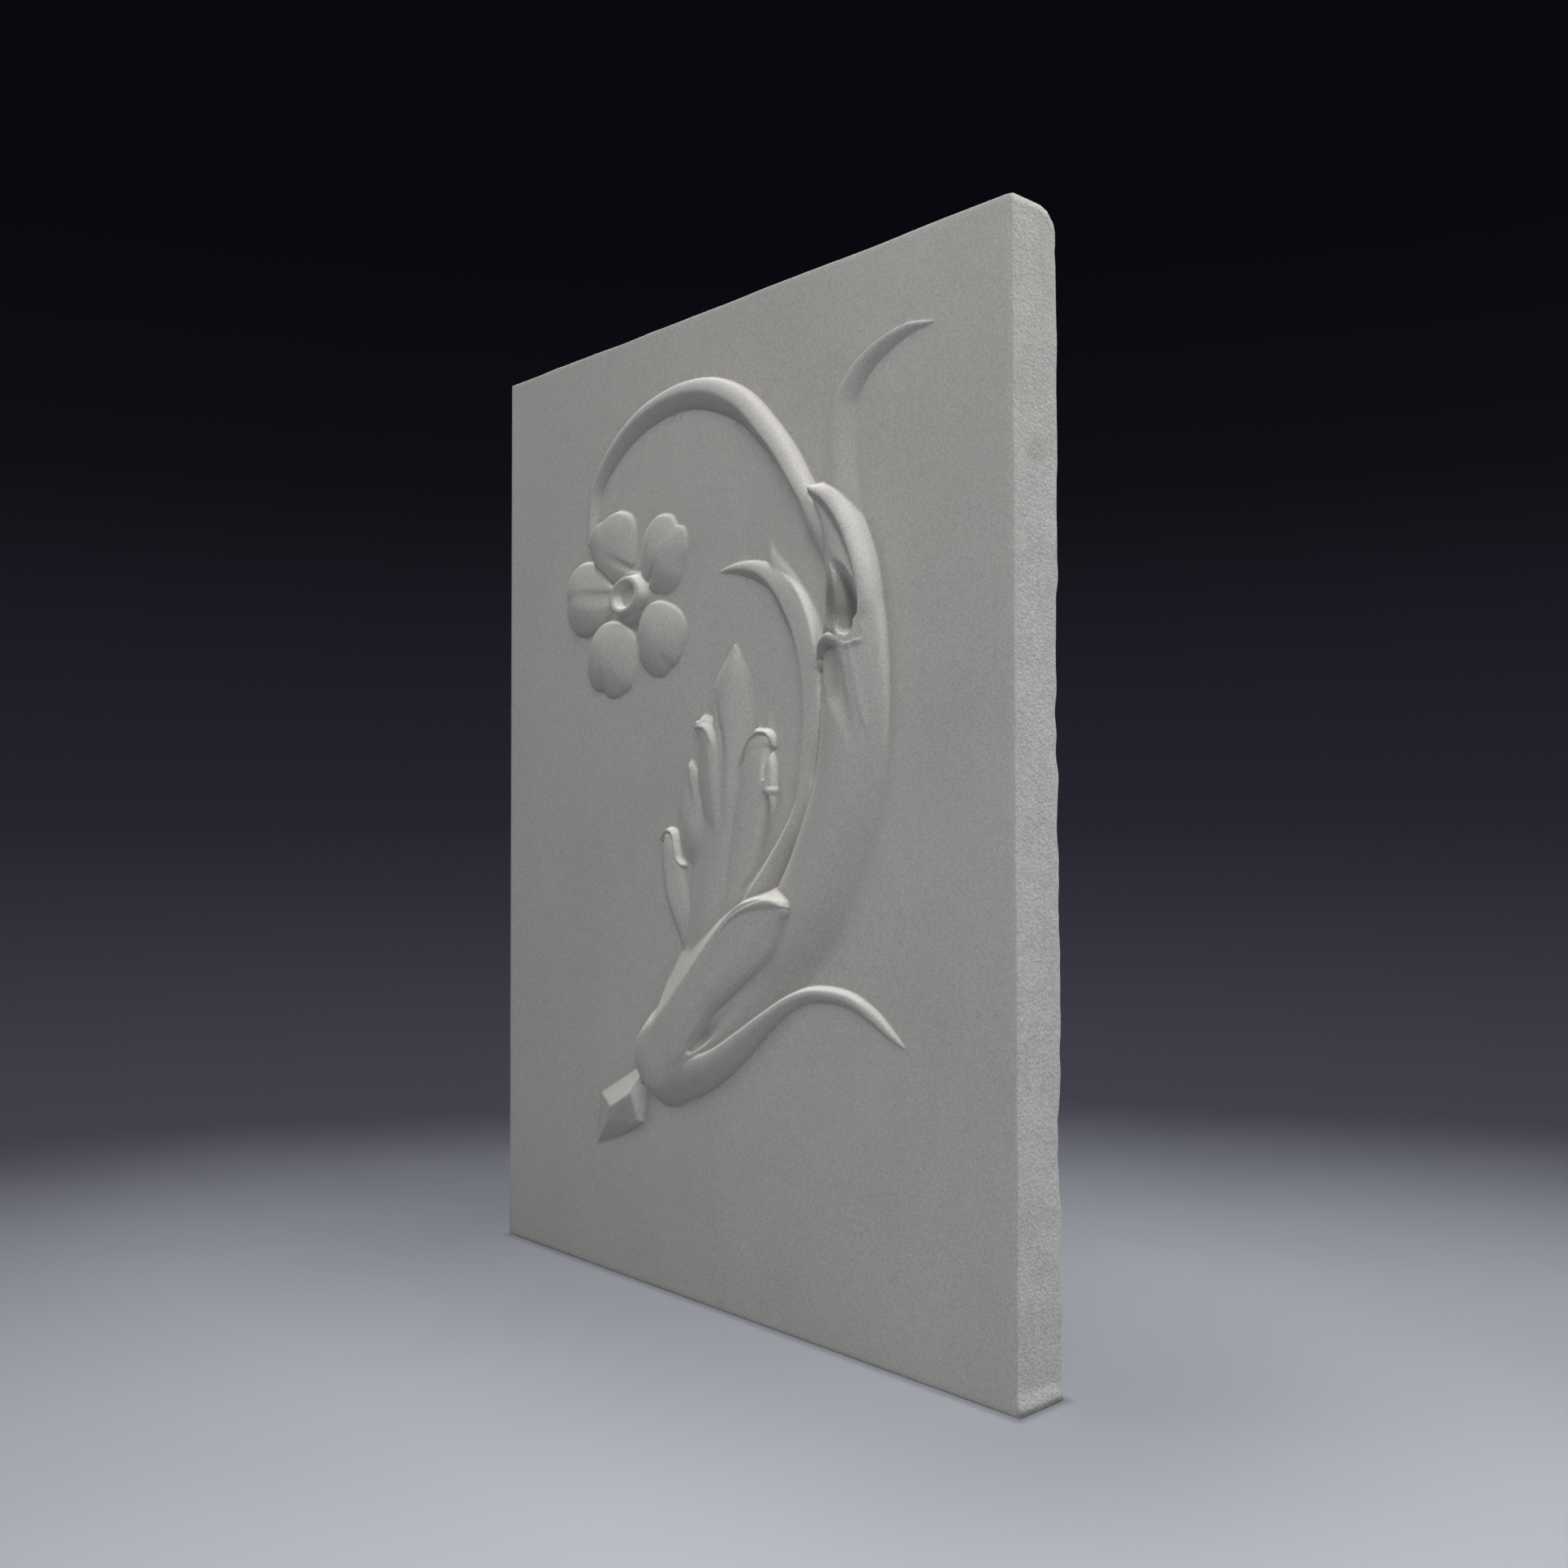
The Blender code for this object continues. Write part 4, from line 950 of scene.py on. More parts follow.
    @staticmethod
    def split_faces(body: bpy.types.Object, chosen: list[bool], cuts: int) -> None:
        """Subdivides the chosen faces.

        Args:
            body: The object, in edit mode.
            chosen: One truth value for each face.
            cuts: Cuts through each edge.
        """
        bpy.ops.mesh.select_mode(type="FACE")
        bpy.ops.mesh.select_all(action="DESELECT")
        bm = bmesh.from_edit_mesh(body.data)
        for face, wanted in zip(bm.faces, chosen):
            if wanted:
                face.select_set(True)
        bmesh.update_edit_mesh(body.data)
        bpy.ops.mesh.subdivide(number_cuts=cuts)

    def front_faces(self, body: bpy.types.Object, zone: Zone) -> list[bool]:
        """Which faces lie on the front and in the zone.

        Args:
            body: The object, in edit mode.
            zone: The places that are asked for.

        Returns:
            One truth value for each face.
        """
        bm = bmesh.from_edit_mesh(body.data)
        places = np.array([vert.co for vert in bm.verts])
        front = np.abs(places[:, 1]) < TOUCH
        rise = np.zeros(len(places))
        rise[front] = self.carved(places[front, 0], places[front, 2])
        chosen = []
        for face in bm.faces:
            corners = [vert.index for vert in face.verts]
            low, high = rise[corners].min(), rise[corners].max()
            inside = high > RAISED if zone is Zone.CARVED else high - low > self.steep_rise
            chosen.append(bool(front[corners].all() and inside))
        return chosen

    def refine(self, body: bpy.types.Object) -> None:
        """Splits the front and sides evenly, then the carved places, then the steep ones.

        Args:
            body: The straight-sided body, left in object mode.
        """
        bm = bmesh.from_edit_mesh(body.data)
        ahead = [face.calc_center_median().y < self.thickness - TOUCH for face in bm.faces]
        self.split_faces(body, ahead, self.face_cuts)
        for zone in Zone:
            self.split_faces(body, self.front_faces(body, zone), 1)
        bpy.ops.object.mode_set(mode="OBJECT")

    def wander(self, run: Array) -> Array:
        """A slow uneven wave between 0 and 1 along an edge, for the places in metres along it."""
        height = 2 * sum(share for _, share, _ in self.waves)
        return 0.5 + sum(share * np.sin(run * turn + phase) for turn, share, phase in self.waves) / height

    def outward(self, x: Array, z: Array) -> tuple[Array, Array]:
        """Direction out of the slab at the points of its outline.

        Args:
            x: Places across, on the straight-sided body.
            z: Places up, likewise.

        Returns:
            The direction's two parts, of length one together, and zero for the points inside the outline.
        """
        half, low, high = self.outline
        out_x = np.where(np.abs(x) > half - TOUCH, np.sign(x), 0)
        out_z = np.where(z < low + TOUCH, -1, np.where(z > high - TOUCH, 1, 0))
        length = np.maximum(np.hypot(out_x, out_z), 1)
        return out_x / length, out_z / length

    def unrest(self, x: Array, z: Array) -> Array:
        """How uneven the outline is: calm on the left edge and the right end of the top, and 1 elsewhere.

        Args:
            x: Places across, on the straight-sided body.
            z: Places up, likewise.

        Returns:
            A share for each place.
        """
        at_left = x < -self.width / 2 + 2 * self.front_round
        at_top = z > self.height - 2 * self.front_round
        near_corner = smooth_step((x - self.width / 2 + self.top_slope_reach) / (self.top_slope_reach / 2))
        return 1 - (1 - self.calm) * np.where(at_left, 1, near_corner * at_top)

    def back_break(self, x: Array, z: Array) -> Array:
        """How far the broken back edge is set in from the outline, with small chips along it.

        Args:
            x: Places across, on the straight-sided body.
            z: Places up, likewise.

        Returns:
            The distances.
        """
        runs_up = np.abs(x) / self.width > np.abs(z / self.height - 0.5)
        run = np.where(runs_up, z + self.side_phase * np.sign(x), x)
        chips = np.clip(noise_values(run / self.chip_length, self.chip_seed, 0), self.chip_least, 1)
        broken = self.back_round + self.back_breakage * self.wander(run) ** self.break_bow + self.chip * chips
        middle, reach, share = self.spared_break
        spared = share * smooth_step(1 - np.abs(z - middle) / reach) * (x > 0)
        broken = np.maximum(broken * (1 - spared), self.back_round)
        return np.where(z < self.unbroken_foot, 2 * self.back_round, broken)

    def shape_side(self, x: Array, y: Array, z: Array) -> tuple[Array, Array, Array]:
        """Rounds the front edge, breaks the back one and makes the side between them uneven.

        Args:
            x: Places across, on the straight-sided body.
            y: Depth behind the ground, likewise.
            z: Places up, likewise.

        Returns:
            The same three for the shaped side.
        """
        out_x, out_z = self.outward(x, z)
        ring = np.round(y / self.thickness * self.bands)
        set_in = self.back_break(x, z)
        arc = self.bands // 4
        front_angle = np.clip(ring / arc, 0, 1) * math.pi / 2
        back_angle = np.clip((ring - self.bands + arc) / arc, 0, 1) * math.pi / 2
        along = np.clip((ring - arc) / (self.bands - 2 * arc), 0, 1)
        straight = self.thickness - self.front_round - set_in
        inset = self.front_round * (1 - np.sin(front_angle)) + set_in * (1 - np.cos(back_angle))
        depth = self.front_round * (1 - np.cos(front_angle)) + straight * along + set_in * np.sin(back_angle)
        standing = (out_z >= 0) * self.unrest(x, z)
        uneven = self.outline_wander * (self.calm + self.wander(x + z) * (1 - self.calm)) * standing
        rough = self.cast.depth(np.column_stack([x, depth, z])) * standing * smooth_step(depth / self.front_round)
        shift = self.front_round - inset - uneven - rough
        return x + out_x * shift, depth, z + out_z * shift

    def shape_back(self, x: Array, z: Array) -> tuple[Array, Array, Array]:
        """Draws the back in to its broken outline and makes it gently uneven.

        Args:
            x: Places across, on the straight-sided body.
            z: Places up, likewise.

        Returns:
            The places across, the depths and the places up.
        """
        half, low, high = self.outline
        reach = 3 * self.back_breakage
        near_x = smooth_step(1 - (half - np.abs(x)) / reach) * np.sign(x)
        near_z = smooth_step(1 - (high - z) / reach) - smooth_step(1 - (z - low) / reach)
        pull = self.front_round - self.back_break(x, z) - self.outline_wander * self.wander(x + z)
        sunk = self.cast.back(np.column_stack([x, np.zeros_like(x), z]))
        inside = smooth_step((half - np.abs(x)) / reach) * smooth_step((high - z) / reach)
        sunk = sunk * inside * smooth_step((z - low) / (2 * reach))
        return x + near_x * pull, self.thickness - sunk, z + near_z * pull

    def wear_top(self, x: Array, depth: Array, z: Array) -> Array:
        """Lowers the top toward the back, most at the right corner.

        Args:
            x: Places across.
            depth: Depth behind the ground.
            z: Places up.

        Returns:
            The new places up.
        """
        behind = np.clip((depth - self.thickness + self.top_slope_depth) / self.top_slope_depth, 0, 1)
        near = smooth_step((x - self.width / 2 + self.top_slope_reach) / self.top_slope_reach)
        corner = self.top_slope_share + (1 - self.top_slope_share) * near
        drop = self.top_slope_drop * corner * (1 - (1 - behind**self.top_slope_bow) ** (1 / self.top_slope_bow))
        reach = 3 * self.top_slope_drop
        return z - drop * smooth_step((z - self.height + reach) / reach)

    def lay_lip(self, x: Array, depth: Array, z: Array) -> tuple[Array, Array]:
        """The proud lip at the foot of the right side, which laps a little way round onto the face.

        Args:
            x: Places across.
            depth: Depth behind the ground.
            z: Places up.

        Returns:
            The places across and the depths, with the lip on them.
        """
        at_front, falls = self.foot_lip_slant
        top = self.foot_lip_height * (at_front - falls * np.clip(depth / self.thickness, 0, 1))
        above = smooth_step((z - top) / self.ledge + 0.5)
        near = smooth_step((x - self.width / 2) / self.front_round + 1) * smooth_step(depth / self.front_round)
        proud = np.maximum(self.width / 2 + self.foot_lip - x, 0)
        hollow = self.foot_hollow * above * (1 - smooth_step((z - top) / self.foot_hollow_reach))
        on_front = (depth < self.front_round) * (depth > -self.ledge)
        lapped = smooth_step((x - self.width / 2) / self.lap + 1) * on_front
        forward = self.lap_rise * (1 - above) * lapped * smooth_step(z / self.ledge)
        return x + near * (proud * (1 - above) - hollow), depth - forward

    def shape(self, body: bpy.types.Object) -> None:
        """Moves every point of the straight-sided body to its place on the cast.

        Args:
            body: The body, split as finely as it needs.
        """
        count = len(body.data.vertices)
        flat = np.empty(count * 3)
        body.data.vertices.foreach_get("co", flat)
        x, y, z = flat.reshape(-1, 3).T.copy()
        front = np.abs(y) < TOUCH
        back = np.abs(y - self.thickness) < TOUCH
        rim = front & (np.hypot(*self.outward(x, z)) > 0)
        inside = front & ~rim
        side = ~(inside | back)
        depth = np.zeros(count)
        carved = self.carved(x[inside], z[inside])
        quiet = 1 - smooth_step(carved / (self.relief_depth - MILLIMETRE))
        depth[inside] = -carved + self.ground.offsets(x[inside], z[inside]) * quiet
        x[side], depth[side], z[side] = self.shape_side(x[side], y[side], z[side])
        x[back], depth[back], z[back] = self.shape_back(x[back], z[back])
        z = self.wear_top(x, depth, z)
        x, depth = self.lay_lip(x, depth, z)
        places = np.column_stack([x, depth - self.thickness / 2, z])
        body.data.vertices.foreach_set("co", places.ravel())
        body.data.update()

    def thin_out(self, body: bpy.types.Object) -> None:
        """Takes out the triangles that the flat stretches don't need.

        Args:
            body: The shaped body.
        """
        count = sum(len(face.vertices) - 2 for face in body.data.polygons)
        modifier = body.modifiers.new("thin_out", "DECIMATE")
        modifier.ratio = min(1.0, self.triangles / count)
        bpy.ops.object.modifier_apply(modifier=modifier.name)
        log.info("%s: %d triangles thinned to %d", body.name, count, len(body.data.polygons))

    def mark_hollows(self, body: bpy.types.Object, blur: float = 2.6, step: float = 1.0) -> None:
        """Stores how far each point lies in a hollow or on a ridge, for the finish to read.

        Args:
            body: The finished mesh.
            blur: Pair of the comparison, in millimetres.
            step: Spacing of the raster that is compared, in millimetres.
        """
        sheet_width, sheet_height, _ = self.sheet
        columns = np.arange(0, sheet_width + step, step)
        rows = np.arange(0, sheet_height + step, step)
        grid_x, grid_z = np.meshgrid(columns, rows)
        x = (grid_x.ravel() / sheet_width - 0.5) * self.width
        z = grid_z.ravel() / sheet_height * self.height
        height = self.carved(x, z).reshape(grid_x.shape) / MILLIMETRE
        reach = np.arange(-round(3 * blur / step), round(3 * blur / step) + 1)
        kernel = np.exp(-0.5 * (reach * step / blur) ** 2)
        soft = height
        for axis in (0, 1):
            soft = np.apply_along_axis(np.convolve, axis, soft, kernel / kernel.sum(), "same")
        sunk = soft - height
        places = np.array([vertex.co for vertex in body.data.vertices])
        last = 1 + MILLIMETRE
        column = np.clip((places[:, 0] / self.width + 0.5) * sheet_width / step, 0, len(columns) - last)
        row = np.clip(places[:, 2] / self.height * sheet_height / step, 0, len(rows) - last)
        c, r = column.astype(int), row.astype(int)
        u, v = column - c, row - r
        value = (sunk[r, c] * (1 - u) + sunk[r, c + 1] * u) * (1 - v)
        value += (sunk[r + 1, c] * (1 - u) + sunk[r + 1, c + 1] * u) * v
        value = value * (places[:, 1] < -self.thickness / 2 + MILLIMETRE)
        attribute = body.data.attributes.new("hollow", "FLOAT", "POINT")
        attribute.data.foreach_set("value", value.astype(np.float32))

    def build(self, finish: "CastPlaster") -> bpy.types.Object:
        """Builds the piece and dresses it.

        Args:
            finish: The plaster that it is cast in.

        Returns:
            The finished piece.
        """
        body = self.start_body()
        self.refine(body)
        self.shape(body)
        self.thin_out(body)
        self.mark_hollows(body)
        bpy.ops.object.shade_smooth()
        body.data.materials.append(finish.build())
        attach(body, "root")
        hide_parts(NODE)
        return body


class Wiring:
    """Adds nodes to a shader tree. What it calls a value is a number, a tuple or a socket that is linked."""

    def __init__(self, tree: Tree) -> None:
        """Takes the tree to work in."""
        self.tree = tree

    def fill(self, socket: Socket, value: object) -> None:
        """Gives the socket its value.

        Args:
            socket: An input of a node.
            value: The value.
        """
        if isinstance(value, Socket):
            self.tree.links.new(value, socket)
        else:
            socket.default_value = value

    def node(self, kind: str, settings: dict | None = None, **inputs: object) -> bpy.types.Node:
        """Adds a node.

        Args:
            kind: The node's type.
            settings: The node's own properties.
            inputs: Values for its inputs, named with _ for a space.

        Returns:
            The node.
        """
        made = self.tree.nodes.new(kind)
        for name, value in (settings or {}).items():
            setattr(made, name, value)
        for name, value in inputs.items():
            self.fill(made.inputs[name.replace("_", " ")], value)
        return made

    def effect(self, group: Tree, **inputs: object) -> bpy.types.NodeOutputs:
        """Places a node group with its values, and returns its outputs."""
        return self.node("ShaderNodeGroup", {"node_tree": group}, **inputs).outputs

    def math(self, operation: str, *values: object) -> Socket:
        """Adds a Math node.

        Args:
            operation: What it does with its values.
            values: One to three values.

        Returns:
            Its result.
        """
        made = self.node("ShaderNodeMath", {"operation": operation})
        for socket, value in zip(made.inputs, values):
            self.fill(socket, value)
        return made.outputs["Value"]

    def total(self, start: float, sockets: tuple[Socket, ...], weights: Values) -> Socket:
        """Adds up sockets by their weights.

        Args:
            start: What the sum starts with.
            sockets: The sockets.
            weights: The weight of each.

        Returns:
            The sum.
        """
        for socket, weight in zip(sockets, weights):
            start = self.math("MULTIPLY_ADD", socket, weight, start)
        return start

    def vector(self, operation: str, first: object, second: object = None, **inputs: object) -> Socket:
        """Adds a Vector Math node.

        Args:
            operation: What it does with its values.
            first: Its first vector.
            second: Its second vector, where it has one.
            inputs: Values for its other inputs.

        Returns:
            Its result, a length or distance as a number.
        """
        made = self.node("ShaderNodeVectorMath", {"operation": operation}, **inputs)
        for socket, value in zip(made.inputs, (first, second)):
            if value is not None:
                self.fill(socket, value)
        return made.outputs["Value" if operation in ("LENGTH", "DISTANCE") else "Vector"]

    def mix(self, share: object, first: object, second: object) -> Socket:
        """Adds a colour Mix node.

        Args:
            share: How much of the second colour it takes.
            first: The first colour.
            second: The second colour.

        Returns:
            Its colour.
        """
        made = self.node("ShaderNodeMix", {"data_type": "RGBA", "clamp_factor": True}, Factor=share)
        self.fill(made.inputs[6], first)
        self.fill(made.inputs[7], second)
        return made.outputs[2]

    def fade(self, value: object, ends: Pair, low: float = 0.0, high: float = 1.0) -> Socket:
        """Adds a smooth Map Range node.

        Args:
            value: The value that it reads.
            ends: Where its result reaches low and high.
            low: Its result at the first end.
            high: Its result at the second end.

        Returns:
            Its result.
        """
        made = self.node("ShaderNodeMapRange", {"interpolation_type": "SMOOTHSTEP"}, Value=value)
        for name, given in zip(("From Min", "From Max", "To Min", "To Max"), (*ends, low, high)):
            self.fill(made.inputs[name], given)
        return made.outputs["Result"]


class GroupMaker(Wiring):
    """Makes a shader node group with named inputs and outputs."""

    def __init__(self, name: str) -> None:
        """Starts an empty group of that name."""
        super().__init__(bpy.data.node_groups.new(name, "ShaderNodeTree"))
        self.source = self.tree.nodes.new("NodeGroupInput")
        self.sink = self.tree.nodes.new("NodeGroupOutput")

    def take(self, name: str, value: float | Point | None = None) -> Socket:
        """Adds an input.

        Args:
            name: The input's name.
            value: Its default, or None for a vector without one.

        Returns:
            The socket that gives it inside the group.
        """
        kind = "NodeSocketFloat" if isinstance(value, float) else "NodeSocketVector"
        socket = self.tree.interface.new_socket(name, in_out="INPUT", socket_type=kind)
        if value is not None:
            socket.default_value = value
        return self.source.outputs[name]

    def give(self, name: str, value: Socket) -> None:
        """Adds an output that is fed by value."""
        self.tree.interface.new_socket(name, in_out="OUTPUT", socket_type="NodeSocketFloat")
        self.tree.links.new(value, self.sink.inputs[name])


class Effects:
    """The shader node groups that the materials share, each made once."""

    def __init__(self) -> None:
        """Makes the groups."""
        self.grain = self.make_grain()
        self.mottle = self.make_mottle()
        self.pinholes = self.make_pinholes()
        self.wear = self.make_wear()

    @staticmethod
    def make_grain() -> Tree:
        """Fine and coarse grain of set plaster, as a tone round one half.

        Returns:
            The group.
        """
        made = GroupMaker("plaster_grain")
        vector = made.take("Vector")
        scales = made.take("Fine", 2200.0), made.take("Coarse", 650.0)
        share = made.take("Coarse Share", 0.4)
        fine, coarse = (
            made.node("ShaderNodeTexNoise", Vector=vector, Scale=scale, Detail=2.0, Roughness=0.6).outputs["Fac"]
            for scale in scales
        )
        fine = made.math("MULTIPLY", fine, made.math("SUBTRACT", 1.0, share))
        tone = made.math("MULTIPLY_ADD", coarse, share, fine)
        contrast = made.take("Contrast", 1.0)
        made.give("Tone", made.math("MULTIPLY_ADD", made.math("SUBTRACT", tone, 0.5), contrast, 0.5))
        return made.tree

    @staticmethod
    def make_mottle() -> Tree:
        """Slow patches of tone, squeezed along each axis by Stretch.

        Returns:
            The group.
        """
        made = GroupMaker("slow_mottle")
        vector = made.take("Vector")
        scale = made.take("Scale", 20.0)
        stretched = made.vector("MULTIPLY", vector, made.take("Stretch", (1.0, 1.0, 1.0)))
        contrast = made.take("Contrast", 1.0)
        patches = made.node(
            "ShaderNodeTexNoise", Vector=stretched, Scale=scale, Detail=4.0, Roughness=0.55, Distortion=0.4
        )
        centred = made.math("SUBTRACT", patches.outputs["Fac"], 0.5)
        made.give("Tone", made.math("MULTIPLY_ADD", centred, contrast, 0.5))
        return made.tree

    @staticmethod
    def make_pinholes() -> Tree:
        """Scattered round air holes, as a mask that is 1 in a hole.

        Returns:
            The group.
        """
        made = GroupMaker("pinholes")
        vector = made.take("Vector")
        scale = made.take("Scale", 60.0)
        radius = made.take("Radius", 0.03)
        share = made.take("Share", 0.2)
        cells = made.node("ShaderNodeTexVoronoi", Vector=vector, Scale=scale)
        ragged = made.node("ShaderNodeTexNoise", Vector=vector, Scale=3000.0, Detail=1.0)
        edge = made.math("MULTIPLY", radius, made.math("ADD", ragged.outputs["Fac"], 0.5))
        inside = made.math("DIVIDE", made.math("SUBTRACT", edge, cells.outputs["Distance"]), edge)
        hue = made.node("ShaderNodeSeparateColor", Color=cells.outputs["Color"])
        chosen = made.math("LESS_THAN", hue.outputs[0], share)
        made.give("Mask", made.math("MULTIPLY", made.math("MAXIMUM", inside, 0.0), chosen))
        return made.tree

    @staticmethod
    def make_wear() -> Tree:
        """Rubbed ridges, and dust with painted shade in hollows, from how deep a point lies and some grain.

        Returns:
            The group.
        """
        made = GroupMaker("rubbed_and_dusty")
        depth = made.take("Hollow", 0.0)
        grain = made.take("Grain", 0.5)
        reach = made.take("Reach", 1.0)
        uneven = made.math("MULTIPLY_ADD", made.math("SUBTRACT", grain, 0.5), made.take("Unevenness", 0.8), depth)
        sunk = made.math("DIVIDE", uneven, reach)
        for name, value in (("Dust", sunk), ("Rubbed", made.math("MULTIPLY", sunk, -1.0))):
            made.give(name, made.math("MINIMUM", made.math("MAXIMUM", value, 0.0), 1.0))
        return made.tree


def new_material(name: str) -> tuple[bpy.types.Material, Wiring, bpy.types.NodeInputs]:
    """Starts a material.

    Args:
        name: The material's name.

    Returns:
        The material, its wiring and the inputs of its shader.
    """
    material = bpy.data.materials.new(name)
    material.use_nodes = True
    return material, Wiring(material.node_tree), material.node_tree.nodes["Principled BSDF"].inputs


@dataclass(frozen=True)
class Patch:
    """A soft-edged patch of another tone: an ellipsoid turned about Y, in metres and degrees."""

    place: Point
    size: Point
    turn: float = 0.0
    strength: float = 0.5
    ragged: float = 1.2
    edge: Pair = (1.25, 0.6)

    def mask(self, wires: Wiring, place: Socket, tone: Socket) -> Socket:
        """How much of the patch's colour each point takes.

        Args:
            wires: The material's wiring.
            place: Places on the object.
            tone: An uneven tone, for the patch's edge.

        Returns:
            The share.
        """
        turn = (0.0, math.radians(self.turn), 0.0)
        moved = wires.node("ShaderNodeMapping", {"vector_type": "TEXTURE"}, Vector=place, Location=self.place,
                           Rotation=turn, Scale=self.size)
        length = wires.vector("LENGTH", moved.outputs["Vector"])
        near = wires.math("MULTIPLY_ADD", wires.math("SUBTRACT", tone, 0.5), self.ragged, length)
        return wires.fade(near, self.edge, 0.0, self.strength)


@dataclass(frozen=True)
class CastPlaster:
    """Matt cast plaster: smooth and finely grained on the face, rougher and streaked on the sides and back.
    Its colour also carries painted shade in hollows, in the sheath's mouth and where it faces down, and painted
    light where it faces up.

    The parts of a tone or a lift are the weights of the textures that build adds up for it. The ends of a tone are
    where it gives the shade and the pale colour.
    """

    effects: Effects
    name: str = "cast_plaster"
    pale: Colour = (0.623, 0.610, 0.571, 1.0)
    shade: Colour = (0.563, 0.550, 0.514, 1.0)
    side_pale: Colour = (0.660, 0.650, 0.622, 1.0)
    side_shade: Colour = (0.560, 0.548, 0.520, 1.0)
    # Colour of dust, pinholes and pits, and of the painted shade in hollows.
    dust: Colour = (0.470, 0.455, 0.425, 1.0)
    rubbed: Colour = (0.680, 0.672, 0.650, 1.0)
    # Colour of the stain on the side, also mixed in to make the side darker towards the top.
    stain: Colour = (0.430, 0.415, 0.390, 1.0)
    # Colour of the painted shadow in the pockets of the sheath's mouth.
    deep: Colour = (0.250, 0.240, 0.222, 1.0)
    tone_start: float = 0.2
    tone_parts: Values = (0.6, 0.12, 0.5)
    tone_ends: Pair = (0.45, 1.10)
    side_parts: Values = (0.5, 0.15, 0.95)
    side_ends: Pair = (0.50, 1.10)
    lift_parts: Values = (0.5, -6.0, 0.15)
    side_lift_parts: Values = (2.2, 0.4, -4.0)
    lift: float = 0.00013
    wear_reach: float = 1.4
    dust_share: float = 0.65
    rubbed_share: float = 0.40
    hole_share: float = 0.8
    pit_share: float = 0.7
    high_reach: Pair = (0.20, 0.40)
    high_shade: float = 0.42
    roughness: float = 0.86
    uneven_roughness: float = 0.08
    specular: float = 0.25
    # Painted shade on surfaces that face down and painted light on those that face up, read from the object's
    # normal.
    under_reach: Pair = (-0.65, 0.0)
    under_share: float = 0.84
    over_reach: Pair = (0.15, 0.75)
    over_share: float = 1.07
    speckle: float = 0.55
    ground_plane: float = -0.0125
    round_depth: float = 0.0013
    stained: Patch = Patch((0.150, 0.002, 0.316), (0.004, 0.0068, 0.0068), strength=0.60)
    # Painted shadow: dark patches in the sheath's mouth, where the crest shades the hollow.
    pockets: tuple[Patch, ...] = (
        Patch((0.0755, -0.0160, 0.2710), (0.0076, 0.0068, 0.0150), -23.0, 0.95, 0.4),
        Patch((0.0680, -0.0170, 0.2480), (0.0070, 0.0060, 0.0140), -20.0, 0.40, 0.4),
    )

    def build(self) -> bpy.types.Material:
        """Builds the material.

        Returns:
            The material.
        """
        material, wires, shader = new_material(self.name)
        place = wires.node("ShaderNodeTexCoord").outputs["Object"]
        hollow = wires.node("ShaderNodeAttribute", {"attribute_name": "hollow"}).outputs["Fac"]
        axes = wires.node("ShaderNodeSeparateXYZ", Vector=place).outputs
        is_side = wires.fade(axes["Y"], (self.ground_plane, self.ground_plane + self.round_depth))

        grain, rough = (
            wires.effect(self.effects.grain, Vector=place, Fine=fine, Coarse=coarse, Coarse_Share=share,
                         Contrast=contrast)["Tone"]
            for fine, coarse, share, contrast in ((1500.0, 700.0, 0.25, 1.4), (1000.0, 420.0, 0.4, 2.4))
        )
        patches, streaks, side_patches, side_streaks = (
            wires.effect(self.effects.mottle, Vector=place, Scale=scale, Stretch=(1.0, 1.0, squeeze),
                         Contrast=contrast)["Tone"]
            for scale, squeeze, contrast in (
                (14.0, 1.0, 1.6), (150.0, 0.10, 1.4), (75.0, 1.0, 2.2), (420.0, 0.16, 2.6)
            )
        )
        holes, pits = (
            wires.effect(self.effects.pinholes, Vector=place, Scale=scale, Radius=radius, Share=share)["Mask"]
            for scale, radius, share in ((42.0, 0.022, 0.16), (160.0, 0.10, 0.30))
        )
        wear = wires.effect(self.effects.wear, Hollow=hollow, Grain=grain, Reach=self.wear_reach)

        tone = wires.total(self.tone_start, (patches, streaks, grain), self.tone_parts)
        face = wires.mix(wires.fade(tone, self.tone_ends), self.shade, self.pale)
        for mask, share, colour in (
            # hollows darkened by dust and painted shade
            (wear["Dust"], self.dust_share, self.dust),
            (wear["Rubbed"], self.rubbed_share, self.rubbed),
            (holes, self.hole_share, self.dust),
        ):
            face = wires.mix(wires.math("MULTIPLY", mask, share), face, colour)
        # painted shadow in the sheath's mouth
        for shaded_pocket in self.pockets:
            face = wires.mix(shaded_pocket.mask(wires, place, grain), face, self.deep)

        side_tone = wires.total(0.0, (side_patches, side_streaks, rough), self.side_parts)
        side = wires.mix(wires.fade(side_tone, self.side_ends), self.side_shade, self.side_pale)
        side = wires.mix(wires.math("MULTIPLY", pits, self.pit_share), side, self.dust)
        side = wires.mix(self.stained.mask(wires, place, side_patches), side, self.stain)
        # the side is made darker towards the top, over high_reach
        side = wires.mix(wires.fade(axes["Z"], self.high_reach, 0.0, self.high_shade), side, self.stain)
        wires.fill(shader["Base Color"], self.grimed(wires, wires.mix(is_side, face, side), grain))

        lift = wires.total(0.0, (grain, holes, streaks), self.lift_parts)
        side_lift = wires.total(0.0, (rough, side_streaks, pits), self.side_lift_parts)
        lift = wires.math("MULTIPLY_ADD", wires.math("SUBTRACT", side_lift, lift), is_side, lift)
        bump = wires.node("ShaderNodeBump", Height=lift, Distance=self.lift)
        wires.fill(shader["Normal"], bump.outputs["Normal"])
        wires.fill(shader["Roughness"], wires.total(self.roughness, (grain,), (self.uneven_roughness,)))
        wires.fill(shader["Specular IOR Level"], self.specular)
        return material

